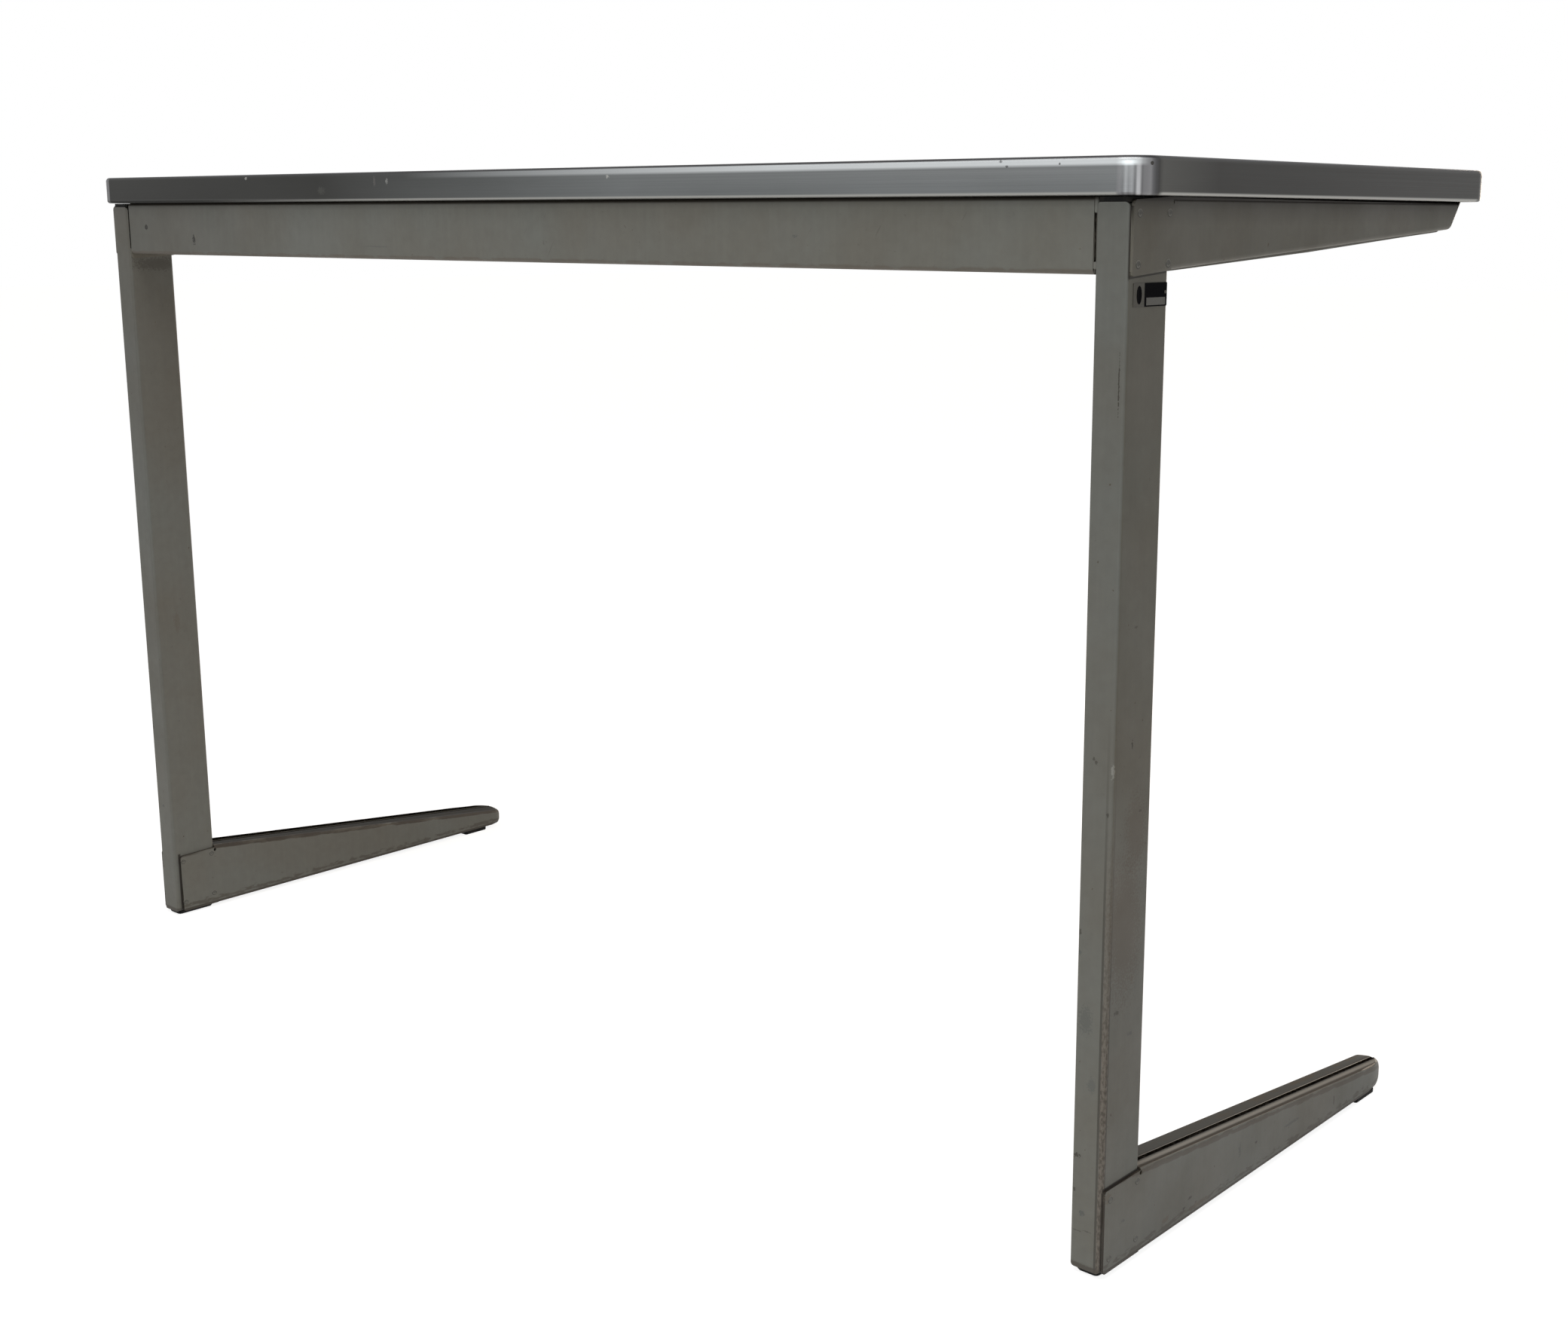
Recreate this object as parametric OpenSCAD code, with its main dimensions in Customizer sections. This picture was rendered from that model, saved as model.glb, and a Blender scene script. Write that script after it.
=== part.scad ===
// Office desk: a board with an aluminium edging on a welded frame of sheet steel.
// Two C-shaped legs, each an upright with a tapered arm above and a tapered foot
// below, are joined by a rail at the back. The knee space is open at the front.
// X runs along the width, Y from the user (-) to the back (+), Z up.
// The origin is on the floor, under the middle of the top.

/* [Desk] */
// Width of the top over its edging
top_w = 1200; // [900:5:1800]
// Depth of the top over its edging
top_d = 500; // [450:5:800]
// Height of the top's working face above the floor
desk_h = 750; // [650:5:850]

/* [Top] */
// Height of the aluminium edging, which is the thickness of the top
edge_h = 24; // [18:0.5:36]
// Radius of the top's corners in plan
corner_r = 19; // [12:0.5:60]
// Wall of the edging, from its outer face to the board
edge_wall = 2.5; // [1.5:0.1:4]
// Width of the lip that laps over the rim of the board
edge_lip_w = 6; // [4:0.5:12]
// Thickness of that lip
edge_lip_t = 2.2; // [1.8:0.1:3]
// Radius of the edging's upper edge
edge_round_top = 3.5; // [1:0.25:3.75]
// Radius of the edging's lower edge
edge_round_low = 2.5; // [0.5:0.25:3]
// Width of the butt joint where the edging's two ends meet
edge_joint = 0.4; // [0.2:0.1:1]
// Thickness of the linoleum on the board
surface_t = 1.8; // [1:0.1:2]
// Thickness of the balancing sheet under the board
backing_t = 0.8; // [0.4:0.1:1.5]
// Gap between the linoleum and the edging's lip
surface_gap = 0.2; // [0.1:0.05:0.5]

/* [Leg] */
// Distance from the top's side edge to the leg's outer face
side_inset = 10.5; // [2:0.5:60]
// Distance from the top's rear edge to the back of the uprights
rear_inset = 6; // [2:0.5:40]
// Width of an upright, across the desk
upright_w = 25; // [20:0.5:40]
// Depth of an upright, front to back
upright_d = 46; // [36:0.5:70]
// Wall of an upright
upright_wall = 1.5; // [1:0.1:2.5]
// Outer radius of an upright's folded edges
upright_r = 2.5; // [2.5:0.25:5]
// Gap between an upright's upper end and the underside of the top
upright_gap = 3.7; // [2:0.1:8]
// Sheet thickness of the arms, feet and rail
sheet_t = 2; // [1.2:0.1:2.5]
// Outer radius of the folds in arms, feet and rail
bend_r = 3.5; // [3:0.25:5]
// Distance from the leg's outer face to the seam between its two shells
seam_w = 11.5; // [10:0.5:13]
// How far one shell's rim is lapped under the other's at the seam
lap_w = 6; // [4:0.5:7]
// How far the cheeks stop short of the back of the upright
cheek_back = 1.5; // [0.5:0.25:5]
// Radius of the round corners of a cheek's heel
heel_r = 2.5; // [1:0.25:5]
// Radius of the round corners at the two ends of an upright, seen from behind
upright_end_r = 4; // [1:0.25:8]
// Radius of the bend relief where a folded rim meets the upright
relief_r = 1.5; // [0.8:0.1:1.8]

/* [Arm] */
// Length of an arm, from the back of the upright to the tip of its nose
arm_len = 472; // [300:1:490]
// Height of an arm at the upright
arm_heel_h = 52.5; // [40:0.5:90]
// Height of an arm where its nose begins
arm_nose_h = 23; // [18:0.5:34]
// How far the foot of the nose stands back from its top
arm_nose_rake = 18; // [6:0.5:40]
// Radius of the lower corner of the nose
arm_nose_r = 8; // [6:0.5:14]
// How far the heel's upper edge lies below the arm's folded upper rim
arm_heel_drop = 3.7; // [2:0.1:8]

/* [Foot] */
// Length of a foot, from the back of the upright to its nose
foot_len = 426; // [300:1:490]
// Height of a foot at the upright, from its lower edge
foot_heel_h = 63.5; // [45:0.5:100]
// Height of a foot's nose, from its lower edge
foot_nose_h = 18.5; // [16:0.5:40]
// Radius of the upper corner of the nose
foot_nose_r = 8; // [6:0.5:10]
// Radius of the lower corner of the nose
foot_toe_r = 6; // [5.75:0.25:7]
// Width of the rim that is folded in along a foot's lower edge
foot_lip_w = 6; // [5.5:0.25:8]
// How far the heel's upper edge lies below the foot's folded upper rim
foot_heel_drop = 1.7; // [0.5:0.1:6]

/* [Rail] */
// Height of the rail's rear face
rail_h = 48; // [30:0.5:80]
// Depth of the rail's upper flange
rail_top_d = 32; // [24:0.5:40]
// Depth of the rail's lower flange
rail_low_d = 16; // [8:0.5:30]
// How far the rail's rear face stands in from the back of the uprights
rail_inset = 1; // [0:0.25:4]
// Number of screws that hold the top to the rail
rail_screws_n = 4; // [2:1:8]

/* [Glides and caps] */
// Height of the glides, which is the gap under the frame
glide_h = 4; // [2:0.5:8]
// How far a glide's rim stands in from the steel round it
glide_inset = 0.8; // [0.2:0.1:1]
// Radius of the lower edge of a glide's rim
glide_edge_r = 1.5; // [0.5:0.25:1.75]
// Radius of a rear glide's corners in plan
rear_glide_r = 7; // [3:0.5:9]
// Radius of a front glide's corners in plan
front_glide_r = 2.5; // [2:0.25:5]
// How far a glide's plug reaches up into the frame
glide_plug_h = 12; // [6:0.5:13]
// Clearance between a plug and the steel round it
plug_gap = 0.15; // [0.1:0.05:0.4]
// Length of the rim of a front glide
front_glide_len = 31; // [22:0.5:50]
// How far a front glide's rim stands back from the nose
front_glide_back = 18; // [8:0.5:30]
// How far a cap's flange stands in from the faces of the upright
cap_inset = 0.5; // [0.2:0.1:1]
// Gap between a cap and the underside of the top
cap_gap = 0.5; // [0.2:0.1:1]
// How far a cap's plug reaches down into the upright
cap_plug_h = 10; // [5:0.5:13]

/* [Fasteners] */
// Number of screws that hold the top to each arm
arm_screws_n = 3; // [2:1:6]
// Shank diameter of the wood screws
screw_d = 4; // [3:0.5:5]
// Head diameter of the wood screws
screw_head_d = 8; // [6:0.5:10]
// Height of the screw heads
screw_head_h = 2.5; // [1.5:0.1:3]
// How deep a screw reaches into the board
screw_grip = 14; // [8:0.5:16]
// Diameter of the holes that let a driver through an arm's lower rim
access_d = 12; // [10:0.5:14]
// Clearance of a screw in the steel it passes through
screw_gap = 0.3; // [0.1:0.1:1]
// Head diameter of the edging's pins
pin_head_d = 2.4; // [1.6:0.1:4]
// Height of a pin's head
pin_head_h = 0.6; // [0.4:0.1:1]
// How far a pin's axis lies below the working face
pin_drop = 4.8; // [3.8:0.1:12]
// Where on a corner's arc a pin sits, measured from the side edge
pin_angle = 22; // [0:1:45]
// Shank diameter of the edging's pins
pin_d = 1.4; // [1:0.1:1.5]
// Length of the edging's pins
pin_len = 16; // [8:1:25]

/* [Hidden] */
$fn = 48;

steel = "#646259";
aluminium = "#a4a6a8";
linoleum = "#3f403d";
chipboard = "#b08d62";
paper = "#8d8677";
plastic = "#1d1d1c";
zinc = "#b9bab6";

// Flat bit that a folded rim shares with its cheek, so that the two are one.
tab = 0.5;
// A corner of a rim is stretched in the press: its sheet comes out a hair
// thinner on both sides, and it runs on into the straight rims for this angle.
thinned = 0.02;
corner_lap = 2;
// How far in from its outline a cheek's flat begins, half-way over the tab.
cheek_inset = bend_r + tab / 2;
// How far a cutting shape runs past what it cuts.
past = 5;

underside_z = desk_h - edge_h;
core_low_z = underside_z + backing_t;
core_top_z = desk_h - edge_lip_t;

leg_w = upright_w + 2 * sheet_t;
leg_x = top_w / 2 - side_inset;
leg_mid_x = leg_x - leg_w / 2;
leg_back_y = top_d / 2 - rear_inset;
upright_y = leg_back_y - upright_d / 2;
upright_top_z = underside_z - upright_gap;
// The folded rims begin at the front face of the upright.
rim_start = upright_d;
// Rim widths, from each cheek's own face to the seam or past it.
outer_w = seam_w;
inner_w = leg_w - seam_w;

// The smallest corner round which a rim and the rim lapped in it still fold.
fold_r = bend_r + sheet_t + tab;
toe_r = max(foot_toe_r, fold_r);
foot_tip_r = max(foot_nose_r, fold_r);
arm_tip_r = max(arm_nose_r, fold_r);
// The upper corner of an arm's nose stays sharp against the top.
sharp = 0;

rail_len = 2 * (leg_x - leg_w);
rail_screw_y = leg_back_y - rail_inset - (bend_r + rail_top_d) / 2;
screw_seat_z = underside_z - sheet_t;

// --------------------------------------------------------------- flat shapes

// A rectangle with four round corners, centred.
module round_rect(w, d, r) {
  square([w - 2 * r, d], center = true);
  square([w, d - 2 * r], center = true);
  for (sx = [-1, 1], sy = [-1, 1])
    translate([sx * (w / 2 - r), sy * (d / 2 - r)]) circle(r);
}

// A quarter of a folded sheet's bend, in the corner of the first quadrant.
module bend(thin = 0) {
  intersection() {
    square(bend_r);
    translate([bend_r, bend_r]) difference() {
      circle(bend_r - thin);
      circle(bend_r - sheet_t + thin);
    }
  }
}

// What a square corner loses when it is rounded to radius r.
module corner_waste(r) {
  difference() {
    translate([-past, -past]) square(r + past);
    translate([r, r]) circle(r);
  }
}

// ------------------------------------------------------------ outline of rims

function heading(a, b) = atan2(b[1] - a[1], b[0] - a[0]);
function along(angle) = [cos(angle), sin(angle)];
// The normal that points into an outline walked anticlockwise.
function inward(angle) = [-sin(angle), cos(angle)];
// The corner where edges with headings a1 and a2 meet, once the first has been
// moved in by d1 and the second by d2.
function moved_corner(p, a1, d1, a2, d2) =
  let (n1 = inward(a1), n2 = inward(a2), s = n1[0] * n2[1] - n1[1] * n2[0])
  p + [d1 * n2[1] - d2 * n1[1], d2 * n1[0] - d1 * n2[0]] / s;
// How far the ends of a corner's arc lie from the sharp corner.
function reach(r, a1, a2) = r * tan((a2 - a1) / 2);
// The headings of an outline's lower edge, nose and upper edge.
function headings(p) =
  let (top = heading(p[2], p[3]))
  [heading(p[0], p[1]), heading(p[1], p[2]), top < 0 ? top + 360 : top];
// The outline with its lower edge, nose and upper edge moved in by d.
function moved_in(p, d) =
  let (h = headings(p))
  [
    p[0] + [0, d[0] / cos(h[0])],
    moved_corner(p[1], h[0], d[0], h[1], d[1]),
    moved_corner(p[2], h[1], d[1], h[2], d[2]),
    p[3] + [0, d[2] / cos(h[2])]
  ];

// ------------------------------------------------------------- pressed shells

// Section of a rim: x is the distance in from the outline, y the depth from the
// cheek's face. A tab of cheek with a quarter bend, then a flat web.
module fold_section(thin = 0) {
  translate([bend_r, thin]) square([tab - thin, sheet_t - 2 * thin]);
  bend(thin);
}

module web_section(web, thin = 0)
  translate([thin, bend_r]) square([sheet_t - 2 * thin, web - bend_r - thin]);

// A straight stretch of rim from a to b, of the section it is given.
module rim_run(a, b)
  translate([a[0], a[1], 0]) rotate([90, 0, heading(a, b) + 90])
    linear_extrude(norm(b - a)) children();

// A rim carried round a corner of radius r, from heading a1 to a2.
module rim_corner(p, r, a1, a2, web) {
  centre = moved_corner(p, a1, r, a2, r);
  translate([centre[0], centre[1], 0]) rotate([0, 0, a1 - 90 - corner_lap])
    rotate_extrude(angle = a2 - a1 + 2 * corner_lap)
      translate([r, 0]) mirror([1, 0]) {
        fold_section(thinned);
        web_section(web, thinned);
      }
}

// The whole rim of a shell: along the lower edge, round the nose and back along
// the upper edge. web lists its width on the lower edge, in the lower corner,
// on the nose, in the upper corner and on the upper edge.
module rim(p, r, web) {
  h = headings(p);
  low = along(h[0]);
  nose = along(h[1]);
  top = along(h[2]);
  t1 = reach(r[0], h[0], h[1]);
  rim_run(p[0] - past * low, p[1] - t1 * low) {
    fold_section();
    web_section(web[0]);
  }
  rim_corner(p[1], r[0], h[0], h[1], web[1]);
  if (r[1] == sharp) {
    // the nose runs up to the top, and the upper rim runs into it with a notch
    // at the fold
    intersection() {
      rim_run(p[1] + t1 * nose, p[2] + past * nose) {
        fold_section();
        web_section(web[2]);
      }
      translate([p[1][0] - past, p[1][1] - past, -past])
        cube([arm_len, p[2][1] - p[1][1] + past, leg_w + past]);
    }
    fold_end = moved_corner(p[2], h[1], cheek_inset, h[2], cheek_inset);
    web_end = moved_corner(p[2], h[1], sheet_t / 4, h[2], sheet_t);
    rim_run([fold_end[0], p[2][1]], p[3] + past * top) fold_section();
    rim_run([web_end[0], p[2][1]], p[3] + past * top) web_section(web[4]);
  } else {
    t2 = reach(r[1], h[1], h[2]);
    rim_run(p[1] + t1 * nose, p[2] - t2 * nose) {
      fold_section();
      web_section(web[2]);
    }
    rim_corner(p[2], r[1], h[1], h[2], web[3]);
    rim_run(p[2] + t2 * top, p[3] + past * top) {
      fold_section();
      web_section(web[4]);
    }
  }
}

// The room a rim may fill, ahead of the upright.
module rim_room(p)
  translate([rim_start, p[0][1] - arm_heel_h, -past])
    cube([arm_len, 3 * arm_heel_h, leg_w + past]);

// Points on the round of a corner whose edges are moved in by cheek_inset.
function cheek_corner(p, r, a1, a2) = [
  for (k = [1, 3, 5])
    moved_corner(p, a1, r, a2, r)
    + (r - cheek_inset) * along(a1 - 90 + (a2 - a1) * k / 6)
];

// The flat of a cheek, from the middle of the rim's tab inwards, carried back
// over the upright's side. Its own corners are hidden in the tab.
module cheek(p, r) {
  h = headings(p);
  back = rim_start / 2;
  polygon(concat(
    [p[0] + cheek_inset * inward(h[0]) - back * along(h[0])],
    cheek_corner(p[1], r[0], h[0], h[1]),
    r[1] == sharp
      ? [moved_corner(p[2], h[1], cheek_inset, h[2], cheek_inset)]
      : cheek_corner(p[2], r[1], h[1], h[2]),
    [p[3] + cheek_inset * inward(h[2]) + back * along(h[2])]
  ));
}

// The heel of a cheek, which laps the upright's side. Its lower edge carries on
// the line of the shell's own, and its upper edge lies below the rim by drop.
module heel(p, drop) {
  top = p[3][1] - drop;
  slope = (p[1][1] - p[0][1]) / (p[1][0] - p[0][0]);
  low = p[0][1] + slope * (cheek_back - rim_start);
  difference() {
    polygon([[cheek_back, low], p[0], [rim_start, top], [cheek_back, top]]);
    translate([cheek_back, low]) corner_waste(heel_r);
    translate([cheek_back, top]) mirror([0, 1]) corner_waste(heel_r);
  }
}

// One pressed half of an arm or a foot, lying on its cheek: x runs forward from
// the back of the upright, y up from the floor and z in from the cheek's face.
module pressed_shell(p, r, web, drop) {
  difference() {
    union() {
      intersection() {
        union() {
          rim(p, r, web);
          linear_extrude(sheet_t) cheek(p, r);
        }
        rim_room(p);
      }
      linear_extrude(sheet_t) heel(p, drop);
    }
    translate([rim_start, p[3][1] - bend_r, -past])
      cylinder(r = relief_r, h = past + bend_r);
  }
}

// Stands what lies on its cheek up on the outer face of the right leg.
module on_outer_face()
  translate([leg_x, leg_back_y, 0]) rotate([90, 0, -90]) children();

// Stands it up on the inner face of the right leg.
module on_inner_face()
  translate([leg_x - leg_w, leg_back_y, 0]) mirror([1, 0, 0])
    rotate([90, 0, -90]) children();

module on_the_left() mirror([1, 0, 0]) children();

// ----------------------------------------------------------------------- arms

// An arm's inner shell is the larger one: below and at the nose the outer
// shell's rim is lapped inside it, and above they meet edge to edge.
arm_slope = (arm_heel_h - arm_nose_h) / (arm_len - arm_nose_rake - cheek_back);
arm_outline = [
  [rim_start, underside_z - arm_heel_h + arm_slope * (rim_start - cheek_back)],
  [arm_len - arm_nose_rake, underside_z - arm_nose_h],
  [arm_len, underside_z],
  [rim_start, underside_z]
];

module arm_outer() color(steel) difference() {
  lapped = outer_w + lap_w;
  on_outer_face() difference() {
    pressed_shell(
      moved_in(arm_outline, [sheet_t, sheet_t, 0]), [arm_tip_r - sheet_t, sharp],
      [lapped, lapped, lapped, outer_w, outer_w], arm_heel_drop
    );
    // the lapped rim stops under the inner shell's upper rim
    translate([rim_start, underside_z - sheet_t, outer_w])
      cube([arm_len, sheet_t + past, leg_w]);
  }
  arm_access_holes();
}

module arm_inner() color(steel) difference() {
  on_inner_face() pressed_shell(
    arm_outline, [arm_tip_r, sharp], [inner_w, inner_w, inner_w, inner_w, inner_w],
    arm_heel_drop
  );
  arm_access_holes();
  at_arm_screws() translate([0, 0, -past])
    cylinder(d = screw_d + screw_gap, h = 2 * past);
}

// The screws stand in a row in the middle of the inner shell's upper rim.
arm_screw_x = leg_x - leg_w + (bend_r + inner_w) / 2;
arm_screw_first = rim_start + 4 * screw_head_d;
arm_screw_last = arm_len - arm_nose_rake - 5 * screw_head_d;

module at_arm_screws()
  for (i = [0:arm_screws_n - 1]) {
    u = arm_screw_first + (arm_screw_last - arm_screw_first) * i / (arm_screws_n - 1);
    translate([arm_screw_x, leg_back_y - u, screw_seat_z]) children();
  }

// Round holes in the lower rims let the driver up to the screws.
module arm_access_holes()
  at_arm_screws() translate([0, 0, -arm_heel_h - past])
    cylinder(d = access_d, h = arm_heel_h + past - screw_head_h - sheet_t);

// ----------------------------------------------------------------------- feet

// A foot's outer shell is the larger one: above and at the nose the inner
// shell's rim is lapped inside it. The underside is open between two lips.
foot_outline = [
  [rim_start, glide_h],
  [foot_len, glide_h],
  [foot_len, glide_h + foot_nose_h],
  [rim_start, glide_h + foot_heel_h]
];

module foot_outer() color(steel) on_outer_face() pressed_shell(
  foot_outline, [toe_r, foot_tip_r],
  [foot_lip_w, outer_w, outer_w, outer_w, outer_w], foot_heel_drop
);

module foot_inner() color(steel) on_inner_face() pressed_shell(
  moved_in(foot_outline, [0, sheet_t, sheet_t]), [toe_r, foot_tip_r - sheet_t],
  [foot_lip_w, inner_w, inner_w + lap_w, inner_w + lap_w, inner_w + lap_w],
  foot_heel_drop
);

// ------------------------------------------------------------------- uprights

// A folded box with open ends. Seen from behind, the corners of both ends are
// rounded off.
module upright() color(steel) intersection() {
  translate([leg_mid_x, upright_y, glide_h]) linear_extrude(upright_top_z - glide_h)
    difference() {
      round_rect(upright_w, upright_d, upright_r);
      round_rect(
        upright_w - 2 * upright_wall, upright_d - 2 * upright_wall,
        upright_r - upright_wall
      );
    }
  translate([leg_mid_x, upright_y, (upright_top_z + glide_h) / 2]) rotate([90, 0, 0])
    linear_extrude(upright_d + 2 * past, center = true)
      round_rect(upright_w, upright_top_z - glide_h, upright_end_r);
}

// ----------------------------------------------------------------------- rail

// A channel with its back to the rear and its open side to the knee space.
// x of the section runs forward, y up from its lower edge.
module rail_section() {
  bend();
  translate([0, rail_h]) mirror([0, 1]) bend();
  translate([0, bend_r]) square([sheet_t, rail_h - 2 * bend_r]);
  translate([bend_r, 0]) square([rail_low_d - bend_r, sheet_t]);
  translate([bend_r, rail_h - sheet_t]) square([rail_top_d - bend_r, sheet_t]);
}

module rear_rail() color(steel) difference() {
  translate([0, leg_back_y - rail_inset, underside_z - rail_h]) rotate([90, 0, 90])
    linear_extrude(rail_len, center = true) mirror([1, 0]) rail_section();
  at_rail_screws() translate([0, 0, -past])
    cylinder(d = screw_d + screw_gap, h = 2 * past);
}

module at_rail_screws()
  for (i = [0:rail_screws_n - 1])
    translate([rail_len * ((i + 0.5) / rail_screws_n - 0.5), rail_screw_y, screw_seat_z])
      children();

// --------------------------------------------------------------------- glides

// A pad with a flat sole, whose lower edge is rounded all round.
module pad(w, d, r) {
  e = glide_edge_r;
  linear_extrude(glide_h) round_rect(w - 2 * e, d - 2 * e, r - e);
  translate([0, 0, e]) linear_extrude(glide_h - e) round_rect(w, d, r);
  for (sx = [-1, 1], sy = [-1, 1])
    translate([sx * (w / 2 - r), sy * (d / 2 - r), e]) rotate_extrude()
      intersection() {
        translate([r - e, 0]) circle(e);
        translate([0, -e]) square([r, 2 * e]);
      }
  for (s = [-1, 1]) {
    translate([s * (w / 2 - e), 0, e]) rotate([90, 0, 0])
      cylinder(r = e, h = d - 2 * r, center = true);
    translate([0, s * (d / 2 - e), e]) rotate([0, 90, 0])
      cylinder(r = e, h = w - 2 * r, center = true);
  }
}

// The rear glide is pushed up into the open end of the upright.
module rear_glide() color(plastic) translate([leg_mid_x, upright_y, 0]) {
  pad(upright_w - 2 * glide_inset, upright_d - 2 * glide_inset, rear_glide_r);
  inset = 2 * (upright_wall + plug_gap);
  linear_extrude(glide_h + glide_plug_h)
    round_rect(upright_w - inset, upright_d - inset, upright_end_r);
}

// The front glide is pushed up between the lips under the nose of the foot.
front_glide_y = leg_back_y - foot_len + front_glide_back + front_glide_len / 2;

module front_glide() color(plastic) translate([leg_mid_x, front_glide_y, 0]) {
  pad(leg_w - 2 * glide_inset, front_glide_len, front_glide_r);
  linear_extrude(glide_h + glide_plug_h) round_rect(
    leg_w - 2 * (foot_lip_w + plug_gap), front_glide_len - 2 * front_glide_r,
    front_glide_r
  );
}

// The cap closes the upper end of the upright: a plug with a flat flange, which
// fills most of the gap under the top.
module upright_cap() color(plastic) translate([leg_mid_x, upright_y, upright_top_z]) {
  inset = 2 * (upright_wall + plug_gap);
  linear_extrude(upright_gap - cap_gap)
    round_rect(upright_w - 2 * cap_inset, upright_d - 2 * cap_inset, upright_end_r);
  translate([0, 0, -cap_plug_h]) linear_extrude(cap_plug_h + upright_gap - cap_gap)
    round_rect(upright_w - inset, upright_d - inset, upright_end_r);
}

// ------------------------------------------------------------------------ top

// Section of the edging, with its outer face on x = 0: a wall and a lip that
// laps over the rim of the board.
module edge_section() {
  low_r = min(edge_round_low, edge_wall);
  difference() {
    union() {
      translate([-edge_wall, underside_z]) square([edge_wall, edge_h]);
      translate([-edge_lip_w, core_top_z]) square([edge_lip_w, edge_lip_t]);
    }
    translate([0, desk_h]) rotate(180) corner_waste(edge_round_top);
    translate([0, underside_z]) mirror([1, 0]) corner_waste(low_r);
  }
}

module edge_side(length)
  rotate([90, 0, 0]) linear_extrude(length, center = true) edge_section();

// The edging, bent round the board in one length, with its ends meeting in the
// middle of the right side.
module edge_band() color(aluminium) difference() {
  union() {
    for (a = [0, 180]) rotate([0, 0, a]) {
      translate([top_w / 2, 0, 0]) edge_side(top_d - 2 * corner_r);
      translate([0, top_d / 2, 0]) rotate([0, 0, 90]) edge_side(top_w - 2 * corner_r);
      for (s = [0, 1]) mirror([s, 0, 0])
        translate([top_w / 2 - corner_r, top_d / 2 - corner_r, 0])
          rotate_extrude(angle = 90) translate([corner_r, 0]) edge_section();
    }
  }
  translate([top_w / 2, 0, desk_h])
    cube([4 * edge_lip_w, edge_joint, 4 * edge_h], center = true);
  at_pins() {
    cylinder(d = pin_d, h = 2 * edge_lip_w);
    translate([0, 0, -past]) cylinder(d = pin_head_d, h = past + pin_head_h);
  }
}

// The middle of each pin's head, with z running in along the pin.
module at_pins()
  for (sx = [-1, 1], sy = [-1, 1])
    translate([
      sx * (top_w / 2 - corner_r + corner_r * cos(pin_angle)),
      sy * (top_d / 2 - corner_r + corner_r * sin(pin_angle)),
      desk_h - pin_drop
    ])
      rotate([0, 90, sx > 0 ? 180 + sy * pin_angle : -sy * pin_angle]) children();

module edge_pins() color(zinc) at_pins() {
  cylinder(d = pin_head_d, h = pin_head_h);
  cylinder(d = pin_d, h = pin_len);
}

module board_outline() round_rect(
  top_w - 2 * edge_wall, top_d - 2 * edge_wall, corner_r - edge_wall
);

module at_all_screws() {
  at_arm_screws() children();
  on_the_left() at_arm_screws() children();
  at_rail_screws() children();
}

module top_core() color(chipboard) difference() {
  translate([0, 0, core_low_z]) linear_extrude(core_top_z - core_low_z) board_outline();
  at_all_screws() cylinder(d = screw_d, h = sheet_t + screw_grip);
  at_pins() cylinder(d = pin_d, h = pin_len);
}

module top_backing() color(paper) difference() {
  translate([0, 0, underside_z]) linear_extrude(backing_t) board_outline();
  at_all_screws() cylinder(d = screw_d, h = sheet_t + screw_grip);
}

module top_surface() color(linoleum) {
  inset = edge_lip_w + surface_gap;
  translate([0, 0, core_top_z]) linear_extrude(surface_t)
    round_rect(top_w - 2 * inset, top_d - 2 * inset, corner_r - inset);
}

// --------------------------------------------------------------------- screws

// A round-headed wood screw whose head is drawn up against the steel at z = 0.
module wood_screw() color(zinc) {
  crown = screw_head_d / 8;
  tip = screw_d;
  rotate_extrude() polygon([
    [0, -screw_head_h], [screw_head_d / 2 - crown, -screw_head_h],
    [screw_head_d / 2, crown - screw_head_h], [screw_head_d / 2, 0],
    [screw_d / 2, 0], [screw_d / 2, sheet_t + screw_grip - tip],
    [0, sheet_t + screw_grip]
  ]);
}

module arm_screws() at_arm_screws() wood_screw();
module rail_screws() at_rail_screws() wood_screw();

// ---------------------------------------------------------------------- nodes

top_core();
top_surface();
top_backing();
edge_band();
edge_pins();
on_the_left() upright();  // left_upright
upright();  // right_upright
on_the_left() arm_outer();  // left_arm_outer
on_the_left() arm_inner();  // left_arm_inner
arm_outer();  // right_arm_outer
arm_inner();  // right_arm_inner
on_the_left() foot_outer();  // left_foot_outer
on_the_left() foot_inner();  // left_foot_inner
foot_outer();  // right_foot_outer
foot_inner();  // right_foot_inner
rear_rail();
on_the_left() rear_glide();  // left_rear_glide
rear_glide();  // right_rear_glide
on_the_left() front_glide();  // left_front_glide
front_glide();  // right_front_glide
on_the_left() upright_cap();  // left_upright_cap
upright_cap();  // right_upright_cap
on_the_left() arm_screws();  // left_arm_screws
arm_screws();  // right_arm_screws
rail_screws();
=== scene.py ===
"""An office desk: a thin covered board in a metal edging, on two legs folded
from sheet steel and joined by a rail at the rear."""

import math

import bmesh
import bpy
from mathutils import Matrix, Vector


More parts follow.
